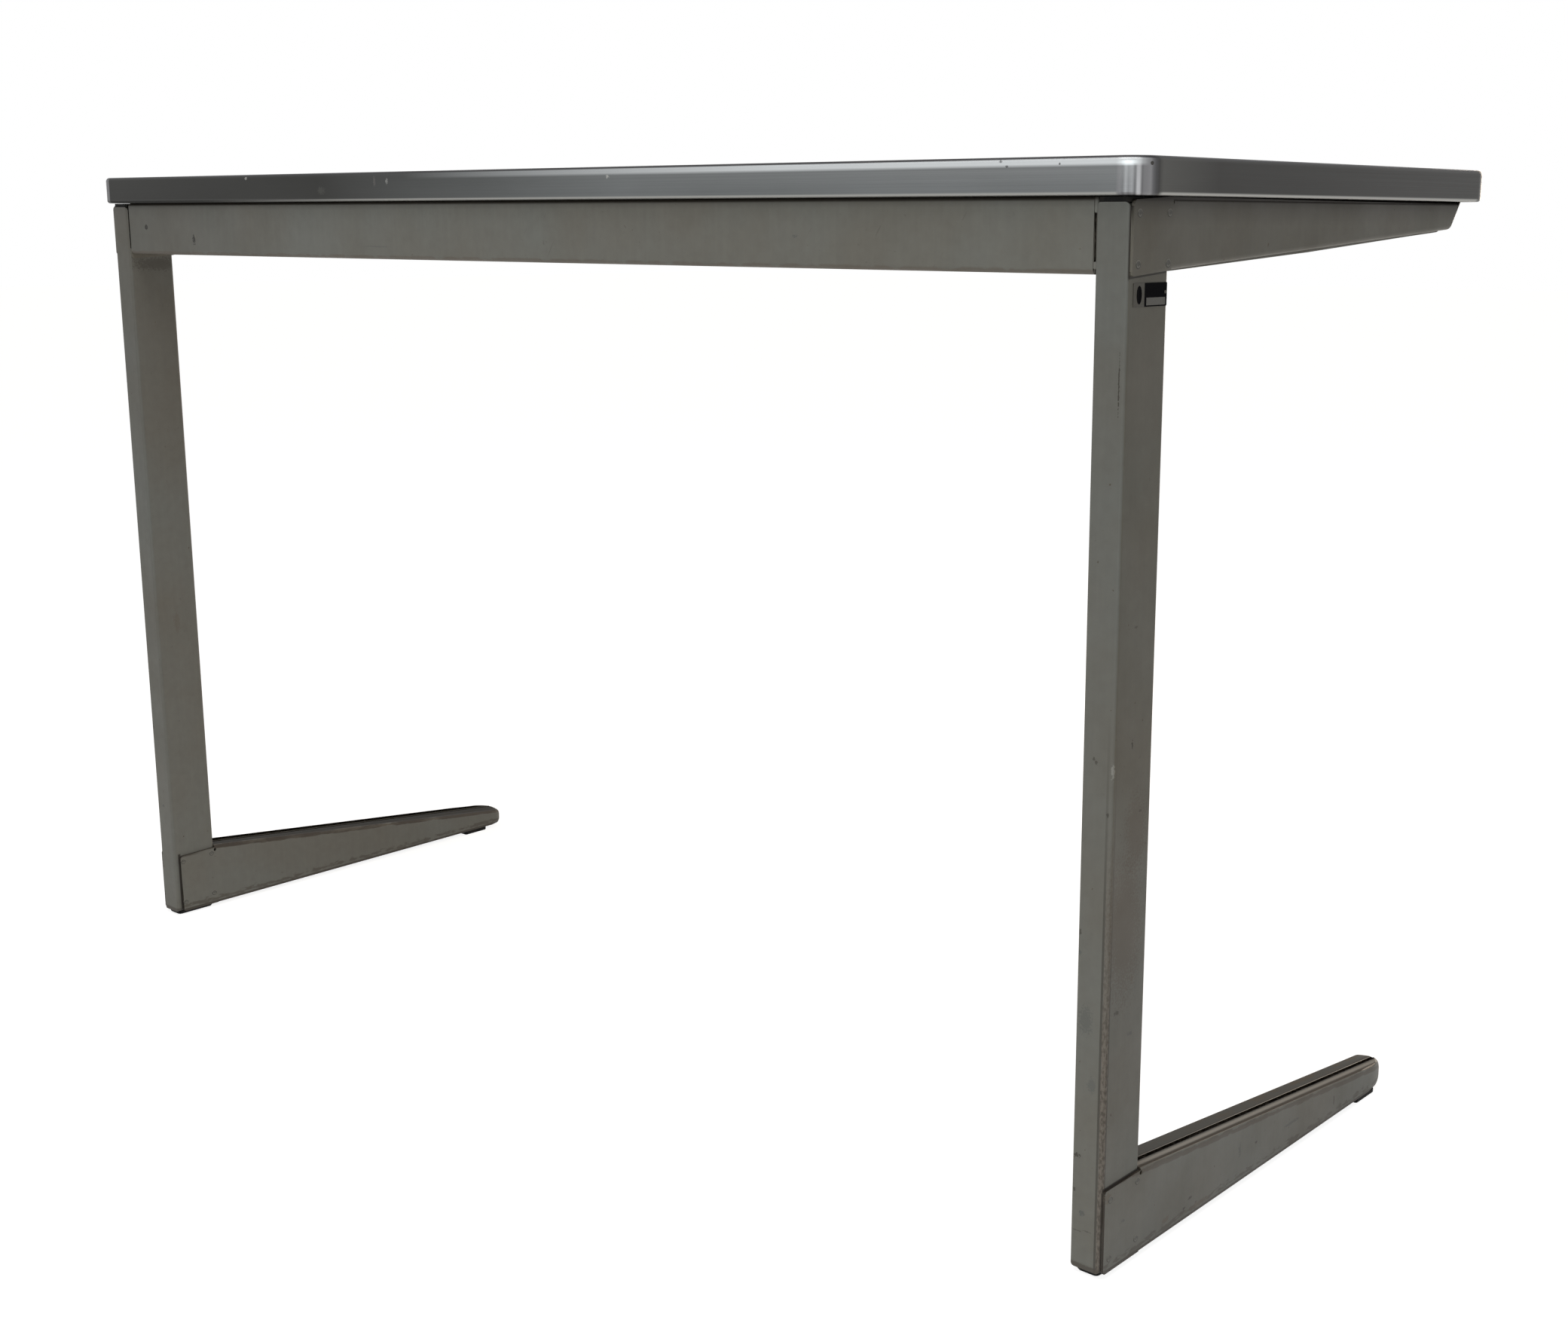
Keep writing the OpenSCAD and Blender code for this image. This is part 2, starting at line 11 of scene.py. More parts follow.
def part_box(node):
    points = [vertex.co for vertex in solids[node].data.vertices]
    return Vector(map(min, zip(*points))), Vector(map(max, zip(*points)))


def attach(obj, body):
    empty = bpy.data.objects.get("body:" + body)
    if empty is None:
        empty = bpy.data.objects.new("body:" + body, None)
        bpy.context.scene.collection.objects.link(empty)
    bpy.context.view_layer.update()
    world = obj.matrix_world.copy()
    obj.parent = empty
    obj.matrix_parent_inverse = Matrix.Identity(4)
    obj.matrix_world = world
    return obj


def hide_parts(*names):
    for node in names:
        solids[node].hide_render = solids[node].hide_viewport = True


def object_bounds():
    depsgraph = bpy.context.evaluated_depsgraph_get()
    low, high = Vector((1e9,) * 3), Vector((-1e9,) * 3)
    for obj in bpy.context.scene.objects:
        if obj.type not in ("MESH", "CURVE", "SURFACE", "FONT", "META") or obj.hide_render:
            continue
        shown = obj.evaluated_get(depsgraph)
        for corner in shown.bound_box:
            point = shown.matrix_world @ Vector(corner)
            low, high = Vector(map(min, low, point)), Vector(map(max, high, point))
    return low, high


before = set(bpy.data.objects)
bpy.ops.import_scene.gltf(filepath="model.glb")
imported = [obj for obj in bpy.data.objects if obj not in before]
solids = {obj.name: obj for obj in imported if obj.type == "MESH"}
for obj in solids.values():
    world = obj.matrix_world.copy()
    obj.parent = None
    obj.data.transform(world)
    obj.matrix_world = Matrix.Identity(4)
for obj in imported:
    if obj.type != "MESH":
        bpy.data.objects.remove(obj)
cad_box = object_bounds()

# ----------------------------
# The board's covering: a sheet of dark grey desk linoleum glued on the chipboard.
# It has gone slightly shiny where hands and paper rub, and carries fine scratches.
# ----------------------------


def feed(socket, value):
    """Links a socket to another, or sets it to a number, a vector or a colour."""
    if isinstance(value, bpy.types.NodeSocket):
        socket.id_data.links.new(value, socket)
    elif socket.type == "RGBA":
        socket.default_value = (*value, 1.0)
    else:
        socket.default_value = value


def add_node(tree, kind, inputs=(), **settings):
    """Adds a node with its settings, and feeds its inputs by name or number."""
    node = tree.nodes.new("ShaderNode" + kind)
    for name, setting in settings.items():
        setattr(node, name, setting)
    for label, value in dict(inputs).items():
        feed(node.inputs[label], value)
    return node


def tree_of(*values):
    """The node tree that the first socket among some values belongs to."""
    return next(value.id_data for value in values if isinstance(value, bpy.types.NodeSocket))


def reckon(operation, first, second=0.0, clamp=False):
    """A sum on two values, each a socket or a number."""
    return add_node(tree_of(first, second), "Math", {0: first, 1: second},
                    operation=operation, use_clamp=clamp).outputs[0]


def times(*values):
    """The product of several values."""
    product = values[0]
    for value in values[1:]:
        product = reckon("MULTIPLY", product, value)
    return product


def colour_mix(mask, first, second, blend="MIX"):
    """Mixes two colours, each a socket or an RGB tuple, by a mask."""
    return add_node(tree_of(mask, first, second), "Mix", {0: mask, 6: first, 7: second},
                    data_type="RGBA", blend_type=blend).outputs[2]


def ramp(value, low, high):
    """Stretches low..high of a value to 0..1, and clamps it."""
    return add_node(value.id_data, "MapRange", {
        "Value": value, "From Min": low, "From Max": high}).outputs["Result"]


def noise(tree, scale, detail=3.0, stretch=(1.0, 1.0, 1.0), shift=0.0, turn=None):
    """A noise on Object coordinates, turned, then stretched along the axes."""
    at = add_node(tree, "TexCoord").outputs["Object"]
    if turn is not None:
        at = add_node(tree, "Mapping", {"Vector": at, "Rotation": turn}).outputs["Vector"]
    at = add_node(tree, "Mapping", {
        "Vector": at, "Scale": stretch,
        "Location": (shift, shift * 0.7, shift * 1.3)}).outputs["Vector"]
    return add_node(tree, "TexNoise", {
        "Vector": at, "Scale": scale, "Detail": detail}).outputs["Fac"]


def new_group(name, numbers=(), vectors=(), results=("Mask",)):
    """A node group, with what it is given and what it puts out."""
    group = bpy.data.node_groups.new(name, "ShaderNodeTree")
    for kind, sockets in (("NodeSocketFloat", numbers), ("NodeSocketVector", vectors)):
        for label, value in sockets:
            socket = group.interface.new_socket(label, in_out="INPUT", socket_type=kind)
            socket.default_value = value
    for label in results:
        group.interface.new_socket(label, in_out="OUTPUT", socket_type="NodeSocketFloat")
    return (group, group.nodes.new("NodeGroupInput").outputs,
            group.nodes.new("NodeGroupOutput").inputs)


def place_group(tree, group, **values):
    """Puts a group in a material with its own values, and gives its outputs."""
    inputs = {label.replace("_", " "): value for label, value in values.items()}
    node = add_node(tree, "Group", node_tree=group)
    for label, value in inputs.items():
        feed(node.inputs[label], value)
    return node.outputs


def new_material(name):
    """A material with nothing in it but its shader and output."""
    material = bpy.data.materials.new(name)
    material.use_nodes = True
    tree = material.node_tree
    tree.nodes.clear()
    shader = add_node(tree, "BsdfPrincipled")
    add_node(tree, "OutputMaterial", {"Surface": shader.outputs["BSDF"]})
    return material, tree, shader


def finish(shader, tone, sheen, relief, strength, depth, **others):
    """Feeds a shader its colour, sheen and relief, and sets its other sockets."""
    bump = add_node(shader.id_data, "Bump", {
        "Height": relief, "Strength": strength, "Distance": depth})
    feed(shader.inputs["Base Color"], tone)
    feed(shader.inputs["Roughness"], sheen)
    feed(shader.inputs["Normal"], bump.outputs["Normal"])
    for label, value in others.items():
        feed(shader.inputs[label.replace("_", " ")], value)


def finish_solid(node, material):
    """Gives a CAD solid its material."""
    mesh = solids[node].data
    mesh.materials.clear()
    mesh.materials.append(material)


# Fine straight scratches: the crests of noises drawn out along two directions.
scratches, given, result = new_group(
    "fine scratches", numbers=(("Scale", 4.0), ("Crest", 0.7), ("Patch", 0.5)))
lines = []
for turn in ((0.5, 0.35, 0.8), (1.7, 0.4, 2.2)):
    crest = noise(scratches, given["Scale"], 1.0, stretch=(1.0, 55.0, 55.0), shift=turn[0],
                  turn=turn)
    lines.append(reckon("MULTIPLY", reckon("SUBTRACT", crest, given["Crest"]), 30.0, clamp=True))
patch = reckon("SUBTRACT", noise(scratches, 6.0, 2.0, shift=3.1), given["Patch"])
feed(result["Mask"], times(reckon("MAXIMUM", *lines),
                           reckon("MULTIPLY", patch, 8.0, clamp=True)))

linoleum, tree, shader = new_material("dark grey desk linoleum")
mottle = noise(tree, 900.0, 4.0)
clouds = noise(tree, 5.0, 3.0, shift=1.7)
tone = colour_mix(ramp(mottle, 0.35, 0.7), (0.026, 0.026, 0.025), (0.044, 0.044, 0.042))
tone = colour_mix(ramp(clouds, 0.3, 0.8), tone, (0.05, 0.049, 0.046))
marks = place_group(tree, scratches, Scale=5.0, Crest=0.7, Patch=0.45)
tone = colour_mix(marks["Mask"], tone, (0.085, 0.083, 0.078))
finish(shader, tone, ramp(clouds, 1.6, -0.4), mottle, 0.25, 0.0002)
finish_solid("top_surface", linoleum)

# ----------------------------
# The board itself: chipboard, hidden by the edging, with a brown resin-paper
# backing underneath that keeps it from warping. The backing's margin beyond the
# legs is painted near-black.
# ----------------------------


def axes(tree):
    """The Object coordinates X, Y and Z."""
    at = add_node(tree, "TexCoord").outputs["Object"]
    return add_node(tree, "SeparateXYZ", {"Vector": at}).outputs


chipboard, tree, shader = new_material("raw chipboard")
chips = add_node(tree, "TexVoronoi", {
    "Vector": add_node(tree, "TexCoord").outputs["Object"], "Scale": 320.0}).outputs["Distance"]
tone = colour_mix(ramp(chips, 0.0, 0.6), (0.21, 0.13, 0.06), (0.42, 0.29, 0.16))
finish(shader, tone, 0.85, chips, 0.5, 0.0004)
finish_solid("top_core", chipboard)

paper, tree, shader = new_material("resin-paper backing")
x, y, z = axes(tree)
fibres = noise(tree, 240.0, 4.0, stretch=(1.0, 0.25, 1.0))
clouds = noise(tree, 6.0, 3.0, shift=5.0)
tone = colour_mix(ramp(fibres, 0.35, 0.7), (0.1, 0.075, 0.05), (0.14, 0.11, 0.075))
tone = colour_mix(ramp(clouds, 0.45, 0.75), tone, (0.085, 0.063, 0.043))
# the margins beyond the legs are painted near-black
for way_out, start in ((x, cad_box[1][0] - 0.043), (y, cad_box[1][1] - 0.0115)):
    margin = ramp(reckon("ABSOLUTE", way_out), start, start + 0.006)
    tone = colour_mix(margin, tone, (0.005, 0.0045, 0.004))
finish(shader, tone, ramp(fibres, -1.5, 0.9), fibres, 0.2, 0.0002, Specular_IOR_Level=0.08)
finish_solid("top_backing", paper)

# ----------------------------
# The edging: drawn aluminium section bent round the board in one length and
# pinned at its corners. Drawing lines run along it. It has dulled to a dark grey;
# its rear side carries a painted reflection that darkens it towards the right,
# and its rims and corner bends carry painted highlights.
# ----------------------------

half_width, half_depth, desk_height = cad_box[1]
corner_radius = 0.019


def vector_sum(operation, first, second=(0.0, 0.0, 0.0)):
    """A sum on two vectors; a length or a dot product is a number."""
    node = add_node(first.id_data, "VectorMath", {0: first, 1: second}, operation=operation)
    return node.outputs["Value" if operation in ("LENGTH", "DOT_PRODUCT") else "Vector"]


def rest_of(mask):
    """All that a mask leaves out."""
    return reckon("SUBTRACT", 1.0, mask)


# One stain, scuff or chip: an egg-shaped spot with a ragged rim.
spot, given, result = new_group(
    "ragged spot", numbers=(("Raggedness", 0.6), ("Grain", 700.0)),
    vectors=(("Middle", (0.0, 0.0, 0.0)), ("Half size", (0.01, 0.01, 0.01))))
offset = vector_sum("SUBTRACT", add_node(spot, "TexCoord").outputs["Object"], given["Middle"])
reach = vector_sum("LENGTH", vector_sum("DIVIDE", offset, given["Half size"]))
rag = times(reckon("SUBTRACT", noise(spot, given["Grain"], 4.0), 0.5), given["Raggedness"], 4.0)
feed(result["Mask"], reckon("MULTIPLY", rest_of(reckon("ADD", reach, rag)), 2.5, clamp=True))


def stain(tone, mask, colour, strength=1.0):
    """Lays a colour over another where a mask is."""
    return colour_mix(times(mask, strength), tone, colour)


def tint(tone, mask, colour, strength=1.0):
    """Multiplies a colour by another where a mask is."""
    return colour_mix(times(mask, strength), tone, colour, "MULTIPLY")


def spots(tone, places):
    """Lays ragged spots, each with a middle, half a size, a colour and a strength."""
    for middle, half_size, colour, strength in places:
        mark = place_group(tone.id_data, spot, Middle=middle, Half_size=half_size)
        tone = stain(tone, mark["Mask"], colour, strength)
    return tone


aluminium, tree, shader = new_material("dulled drawn aluminium")
x, y, z = axes(tree)
below_top = reckon("SUBTRACT", desk_height, z)
on_the_end = ramp(x, -half_width + 0.007, -half_width + 0.002)
drawn = noise(tree, 1.0, 2.0, stretch=(3.0, 3.0, 1500.0))
fine = noise(tree, 1.0, 3.0, stretch=(14.0, 14.0, 5200.0), shift=9.0)
clouds = noise(tree, 5.0, 4.0, stretch=(1.0, 1.0, 4.0), shift=2.0)
# painted reflection over the dull grey: the rear side is painted bright on the left and dark on
# the right, and the end is painted lighter towards its rear corner
tone = colour_mix(ramp(x, -0.6, -0.3), (0.168, 0.176, 0.18), (0.143, 0.151, 0.153))
tone = colour_mix(ramp(x, -0.15, 0.24), tone, (0.036, 0.036, 0.034))
end_tone = colour_mix(ramp(y, 0.16, 0.236), (0.039, 0.038, 0.036), (0.085, 0.084, 0.079))
tone = colour_mix(on_the_end, tone, end_tone)
# streaks, clouds and hairlines
tone = tint(tone, ramp(drawn, 0.3, 0.72), (1.25, 1.25, 1.25), 0.4)
tone = tint(tone, ramp(clouds, 0.42, 0.75), (0.62, 0.62, 0.61), 0.45)
tone = tint(tone, ramp(fine, 0.62, 0.75), (1.5, 1.5, 1.5), 0.35)
# the lower rim carries a painted highlight, but on the right it is painted near-black, matte and
# not metallic, as painted shade
low_rim_highlight = times(ramp(below_top, 0.0215, 0.0225), rest_of(ramp(x, 0.1, 0.5)))
tone = stain(tone, low_rim_highlight, (0.3, 0.3, 0.285), 0.9)
shaded_low_rim = times(ramp(below_top, 0.0205, 0.0225), ramp(x, 0.2, 0.42))
tone = stain(tone, shaded_low_rim, (0.016, 0.016, 0.015), 0.9)
# the bend at each corner is fluted upright, and carries painted reflections in upright bright
# bands
from_middle = vector_sum("ABSOLUTE", add_node(tree, "TexCoord").outputs["Object"])
from_bend = vector_sum("SUBTRACT", from_middle, (
    half_width - corner_radius, half_depth - corner_radius, 0.0))
out_x, out_y, _ = add_node(tree, "SeparateXYZ", {"Vector": from_bend}).outputs
in_bend = times(ramp(out_x, -0.001, 0.001), ramp(out_y, -0.004, 0.001))
quarter = reckon("DIVIDE", reckon("ARCTAN2", out_y, out_x), math.pi / 2, clamp=True)
corner_glints = add_node(tree, "ValToRGB", {"Fac": quarter})
corner_glints.color_ramp.elements.remove(corner_glints.color_ramp.elements[1])
corner_glints.color_ramp.elements[0].color = (0.045, 0.044, 0.042, 1.0)
for around, grey in ((0.12, 0.075), (0.2, 0.12), (0.27, 0.22), (0.33, 0.2), (0.42, 0.18),
                     (0.46, 0.13), (0.51, 0.4), (0.555, 0.38), (0.6, 0.11), (0.66, 0.18),
                     (0.74, 0.12), (0.8, 0.18), (0.86, 0.11), (0.92, 0.16), (1.0, 0.165)):
    stop = corner_glints.color_ramp.elements.new(around)
    stop.color = (grey, grey, grey * 1.03, 1.0)
fluted = ramp(corner_glints.outputs["Color"], 0.05, 0.2)
tone = colour_mix(in_bend, tone, corner_glints.outputs["Color"])
# painted reflection: the rear side is painted paler in its upper half, its upper bend carries a
# painted highlight, and its top line a painted dark reflection
upper_half_sheen = times(ramp(below_top, 0.018, 0.005), ramp(x, 0.0, -0.45), rest_of(on_the_end))
tone = stain(tone, times(upper_half_sheen, drawn), (0.26, 0.265, 0.265), 0.5)
high_rim_highlight = times(ramp(below_top, 0.0066, 0.0046), rest_of(ramp(x, -0.3, 0.12)),
                 rest_of(on_the_end))
tone = stain(tone, high_rim_highlight, (0.56, 0.58, 0.59), 0.95)
tone = colour_mix(ramp(below_top, 0.0021, 0.0012), tone, (0.02, 0.019, 0.021))
# nicks and scuffs
tone = spots(tone, (
    ((0.348, half_depth, 0.7468), (0.002, 0.002, 0.0015), (0.3, 0.3, 0.28), 0.8),
    ((0.235, half_depth, 0.7353), (0.006, 0.002, 0.0035), (0.1, 0.1, 0.09), 0.3),
    ((0.1592, half_depth, 0.7422), (0.0016, 0.002, 0.005), (0.13, 0.12, 0.115), 0.5),
    ((0.1425, half_depth, 0.742), (0.0018, 0.002, 0.0028), (0.25, 0.25, 0.24), 0.6),
    ((-0.127, half_depth, 0.7425), (0.0018, 0.002, 0.0012), (0.4, 0.4, 0.38), 0.7),
    ((-0.493, half_depth, 0.7475), (0.0016, 0.003, 0.001), (0.05, 0.05, 0.05), 0.7),
    ((-0.498, half_depth, 0.7442), (0.0014, 0.003, 0.001), (0.05, 0.05, 0.05), 0.7),
    ((-0.5385, half_depth, 0.7455), (0.0008, 0.003, 0.0008), (0.03, 0.03, 0.03), 0.8)))
# the painted shade on the right of the lower rim is also made rough and not metallic
sheen = reckon("MAXIMUM", reckon("ADD", times(drawn, 0.2), 0.3), shaded_low_rim)
relief = reckon("ADD", drawn, times(fluted, in_bend, 0.6))
finish(shader, tone, sheen, relief, 0.12, 0.0002, Metallic=rest_of(shaded_low_rim))
finish_solid("edge_band", aluminium)


def grained(name, grain, colours, sheen, relief, spread=(0.0, 1.0), **others):
    """A finish whose colour, sheen and relief all follow one fine grain."""
    material, tree, shader = new_material(name)
    grain = noise(tree, *grain)
    finish(shader, colour_mix(ramp(grain, *spread), *colours), ramp(grain, *sheen), grain,
           *relief, **others)
    return material


pin_steel = grained("darkened steel pins", (900.0, 3.0),
                    ((0.02, 0.019, 0.018), (0.09, 0.087, 0.08)),
                    (-0.6, 1.3), (0.15, 0.0001), Metallic=0.8)
finish_solid("edge_pins", pin_steel)

# ----------------------------
# The screws that hold the top: round-headed steel wood screws, zinc plated and
# gone dull, driven up through the arms' and the rail's upper flanges.
# ----------------------------

zinc = grained("dull zinc plate", (700.0, 3.0), ((0.33, 0.33, 0.32), (0.5, 0.5, 0.48)),
               (-0.3, 1.6), (0.1, 0.0001), Metallic=1.0)
for node in ("left_arm_screws", "right_arm_screws", "rail_screws"):
    finish_solid(node, zinc)

# ----------------------------
# The uprights: each folded from one sheet to a box, stove-enamelled olive grey
# inside and out. The near one has been kicked and scraped: its outer rear fold is
# worn to a pinkish brown in the lower half, and both carry small dents and scuffs.
# ----------------------------

outer_face, leg_back = -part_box("left_upright")[0][0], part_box("left_upright")[1][1]
leg_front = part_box("left_upright")[0][1]
inner_face = outer_face - 0.025
# the heights at which the edges of the arms' and feet's cheeks meet the side
arm_joint, foot_joint = 0.69359, 0.0664

dirt = (0.03, 0.025, 0.019)
rubbed_primer = (0.112, 0.092, 0.07)
scuff = (0.085, 0.089, 0.083)

# A worn or dirty line along a fold: a band on a plane, broken up by a noise.
worn_line, given, result = new_group(
    "worn line", numbers=(("Level", 0.0), ("Half width", 0.002), ("Share", 0.5),
                          ("Grain", 120.0), ("Hardness", 6.0)),
    vectors=(("Across", (0.0, 0.0, 1.0)),))
height = vector_sum("DOT_PRODUCT", add_node(worn_line, "TexCoord").outputs["Object"],
                    given["Across"])
away = reckon("ABSOLUTE", reckon("SUBTRACT", height, given["Level"]))
near = reckon("SUBTRACT", 1.0, reckon("DIVIDE", away, given["Half width"]), clamp=True)
flecks = noise(worn_line, given["Grain"], 6.0, stretch=(1.0, 0.35, 1.0), shift=6.0)
level = reckon("SUBTRACT", reckon("ADD", flecks, times(near, 0.35)),
               reckon("SUBTRACT", 1.05, given["Share"]))
feed(result["Mask"], times(reckon("MULTIPLY", level, given["Hardness"], clamp=True),
                           reckon("MULTIPLY", near, 3.0, clamp=True)))


def enamel(name, shift):
    """The legs' stove enamel, before what each piece has gone through is added."""
    material, tree, shader = new_material(name)
    tone = colour_mix(ramp(noise(tree, 10.0, 5.0, shift=shift), 0.35, 0.68),
                      (0.113, 0.108, 0.094), (0.121, 0.123, 0.113))
    mottle = noise(tree, 130.0, 6.0, shift=shift + 2.0)
    tone = tint(tone, ramp(mottle, 0.3, 0.75), (0.72, 0.71, 0.68), 0.3)
    drips = noise(tree, 1.0, 3.0, stretch=(260.0, 260.0, 14.0), shift=shift)
    tone = tint(tone, ramp(drips, 0.4, 0.8), (1.25, 1.24, 1.22), 0.22)
    specks = noise(tree, 210.0, 2.0, shift=shift + 5.0)
    tone = stain(tone, ramp(specks, 0.74, 0.78), (0.07, 0.058, 0.045))
    marks = place_group(tree, scratches, Scale=6.0, Crest=0.74, Patch=0.5)
    tone = stain(tone, marks["Mask"], (0.06, 0.055, 0.048), 0.35)
    # painted light: the enamel is painted paler towards the floor, standing in for the light the
    # floor throws back
    tone = tint(tone, ramp(axes(tree)["Z"], 0.62, 0.04), (1.24, 1.25, 1.25))
    return material, tree, shader, tone


def finish_enamel(shader, tone, rough_where=None):
    """Ends an enamel: its colour, its sheen and the orange peel of the spraying."""
    tree = shader.id_data
    sheen = ramp(noise(tree, 22.0, 4.0, shift=1.2), -1.2, 1.9)
    if rough_where is not None:
        sheen = reckon("MAXIMUM", sheen, times(rough_where, 0.85))
    dents = times(noise(tree, 26.0, 2.0, shift=7.0), 5.0)
    finish(shader, tone, sheen, reckon("ADD", noise(tree, 380.0, 2.0), dents), 0.12, 0.0004,
           Specular_IOR_Level=0.3)


upright_enamel, tree, shader, tone = enamel("stove enamel of the uprights", 4.0)
x, y, z = axes(tree)
from_inside = reckon("ABSOLUTE", x)
# the near fold is rubbed through to the primer in its lower half, and flecked with
# dirt, between a dark line on the rear face and a broken one on the side
frayed = times(noise(tree, 90.0, 4.0, shift=9.0), 0.0022)
on_fold = times(
    ramp(reckon("ADD", x, frayed), -outer_face + 0.0047, -outer_face + 0.0042),
    ramp(reckon("ADD", y, frayed), leg_back - 0.0025, leg_back - 0.0018),
    ramp(z, 0.34, 0.16))
tone = stain(tone, on_fold, (0.148, 0.126, 0.105), 0.85)
flecks = noise(tree, 700.0, 5.0, stretch=(1.0, 1.0, 0.45), shift=3.0)
tone = stain(tone, times(on_fold, ramp(flecks, 0.42, 0.6)), dirt, 0.62)
beside_fold = times(ramp(x, -outer_face + 0.006, -outer_face + 0.0055), ramp(z, 0.4, 0.24))
for across, level, reach, share, strength in (
        ((1.0, 0.0, 0.0), -outer_face + 0.0043, 0.0011, 1.0, 0.7),
        ((0.0, 1.0, 0.0), leg_back - 0.0034, 0.0009, 0.62, 0.6)):
    line = place_group(tree, worn_line, Across=across, Level=level, Half_width=reach,
                       Share=share, Grain=90.0)
    tone = stain(tone, times(line["Mask"], beside_fold), dirt, strength)
tone = spots(tone, (
    ((-outer_face + 0.001, leg_back, 0.3615), (0.0012, 0.003, 0.006), (0.24, 0.235, 0.215), 0.8),
    # brown smudges, a short cut and dents on the near side face
    ((-outer_face, 0.226, 0.25), (0.004, 0.022, 0.055), (0.1, 0.084, 0.068), 0.6),
    ((-outer_face, 0.216, 0.315), (0.004, 0.014, 0.03), (0.1, 0.085, 0.069), 0.6),
    ((-outer_face, 0.223, 0.3758), (0.002, 0.0009, 0.0036), dirt, 0.95),
    ((-outer_face, 0.2145, 0.211), (0.002, 0.0012, 0.0035), rubbed_primer, 0.8),
    ((-outer_face, 0.2325, 0.192), (0.002, 0.0034, 0.002), dirt, 0.6),
    ((-outer_face, 0.215, 0.172), (0.002, 0.0034, 0.0018), scuff, 0.7),
    ((-outer_face, 0.2225, 0.4546), (0.002, 0.0022, 0.0011), dirt, 0.5),
    ((-outer_face, 0.211, 0.3284), (0.002, 0.0026, 0.0012), dirt, 0.5),
    # scuffs, chips and the fine scores on the near rear face
    ((-0.5646, leg_back, 0.2472), (0.0013, 0.002, 0.002), dirt, 0.7),
    ((-0.5645, leg_back, 0.2332), (0.002, 0.002, 0.002), scuff, 0.8),
    ((-0.5708, leg_back, 0.186), (0.006, 0.002, 0.011), scuff, 0.55),
    ((-0.577, leg_back, 0.1405), (0.004, 0.002, 0.006), scuff, 0.55),
    ((-0.5662, leg_back, 0.087), (0.0034, 0.002, 0.0017), dirt, 0.8),
    ((-0.5653, leg_back, 0.0611), (0.0012, 0.002, 0.0016), dirt, 0.7),
    ((-0.5716, leg_back, 0.0455), (0.0028, 0.002, 0.0022), scuff, 0.8),
    ((-0.568, leg_back, 0.0316), (0.005, 0.002, 0.0006), dirt, 0.4),
    ((-0.576, leg_back, 0.0331), (0.005, 0.002, 0.0006), dirt, 0.4),
    ((-0.5717, leg_back, 0.3678), (0.0012, 0.002, 0.0014), dirt, 0.6),
    ((-0.5738, leg_back, 0.3655), (0.0012, 0.002, 0.0014), dirt, 0.6),
    ((-0.5837, leg_back, 0.3315), (0.0009, 0.002, 0.0026), dirt, 0.7),
    ((-0.5829, leg_back - 0.0005, 0.611), (0.0006, 0.002, 0.0215), dirt, 0.9),
    # the far upright: a chip on its outer fold and two knocks below it
    ((0.5861, leg_back, 0.451), (0.0018, 0.002, 0.003), dirt, 0.95),
    ((0.5845, leg_back, 0.2), (0.0016, 0.002, 0.0022), dirt, 0.5),
    ((0.5765, leg_back, 0.117), (0.0022, 0.002, 0.0016), scuff, 0.8),
    # a painted shadow on the far upright's inner face, under the arm's inner cheek
    ((inner_face, 0.214, 0.668), (0.002, 0.03, 0.007), dirt, 0.45),
    ((inner_face, 0.222, 0.31), (0.002, 0.004, 0.012), (0.1, 0.083, 0.064), 0.4)))
# the rounded ends and their cut edges are rubbed and grimy near the floor
grimy = place_group(tree, worn_line, Level=0.0045, Half_width=0.004, Share=0.7, Grain=260.0)
tone = stain(tone, grimy["Mask"], (0.06, 0.05, 0.04), 0.8)
# painted shade in the grooves between the rear folds and the cheeks' rear edges, and dark joints
# along the long edges of the arms' and feet's cheeks
at_cheeks = reckon("ADD", ramp(z, 0.674, 0.677), ramp(z, 0.0665, 0.064), clamp=True)
groove_shade = times(at_cheeks, ramp(from_inside, outer_face - 0.0011, outer_face - 0.0004),
                      ramp(y, leg_back - 0.0019, leg_back - 0.0014))
tone = stain(tone, groove_shade, (0.012, 0.009, 0.006), 0.9)
side_wall = ramp(from_inside, outer_face - 0.0006, outer_face - 0.0002)
for across, level in (((0.0, 0.0776, 0.997), arm_joint), ((0.0, 0.0, 1.0), foot_joint)):
    joint = place_group(tree, worn_line, Across=across, Level=level, Half_width=0.0014,
                        Share=1.1, Grain=150.0)
    tone = stain(tone, times(joint["Mask"], side_wall), (0.014, 0.011, 0.008), 0.9)
# the feet's inner cheeks leave a black line on the inner sides
inner_joint = times(
    ramp(from_inside, outer_face - 0.0232, outer_face - 0.0238),
    ramp(y, leg_back - 0.0072, leg_back - 0.0066), ramp(y, leg_back - 0.0036, leg_back - 0.0044),
    ramp(z, 0.0668, 0.0655))
tone = stain(tone, inner_joint, (0.012, 0.008, 0.005), 0.9)
# painted shade: the upper part of the sides is painted a little darker and warmer
tone = tint(tone, times(side_wall, ramp(z, 0.2, 0.36)), (0.93, 0.89, 0.82))
finish_enamel(shader, tone)
for node in ("left_upright", "right_upright"):
    finish_solid(node, upright_enamel)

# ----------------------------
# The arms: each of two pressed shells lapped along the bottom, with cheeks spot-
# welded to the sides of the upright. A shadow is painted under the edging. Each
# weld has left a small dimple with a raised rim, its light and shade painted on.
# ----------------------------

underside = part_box("top_backing")[0][2]


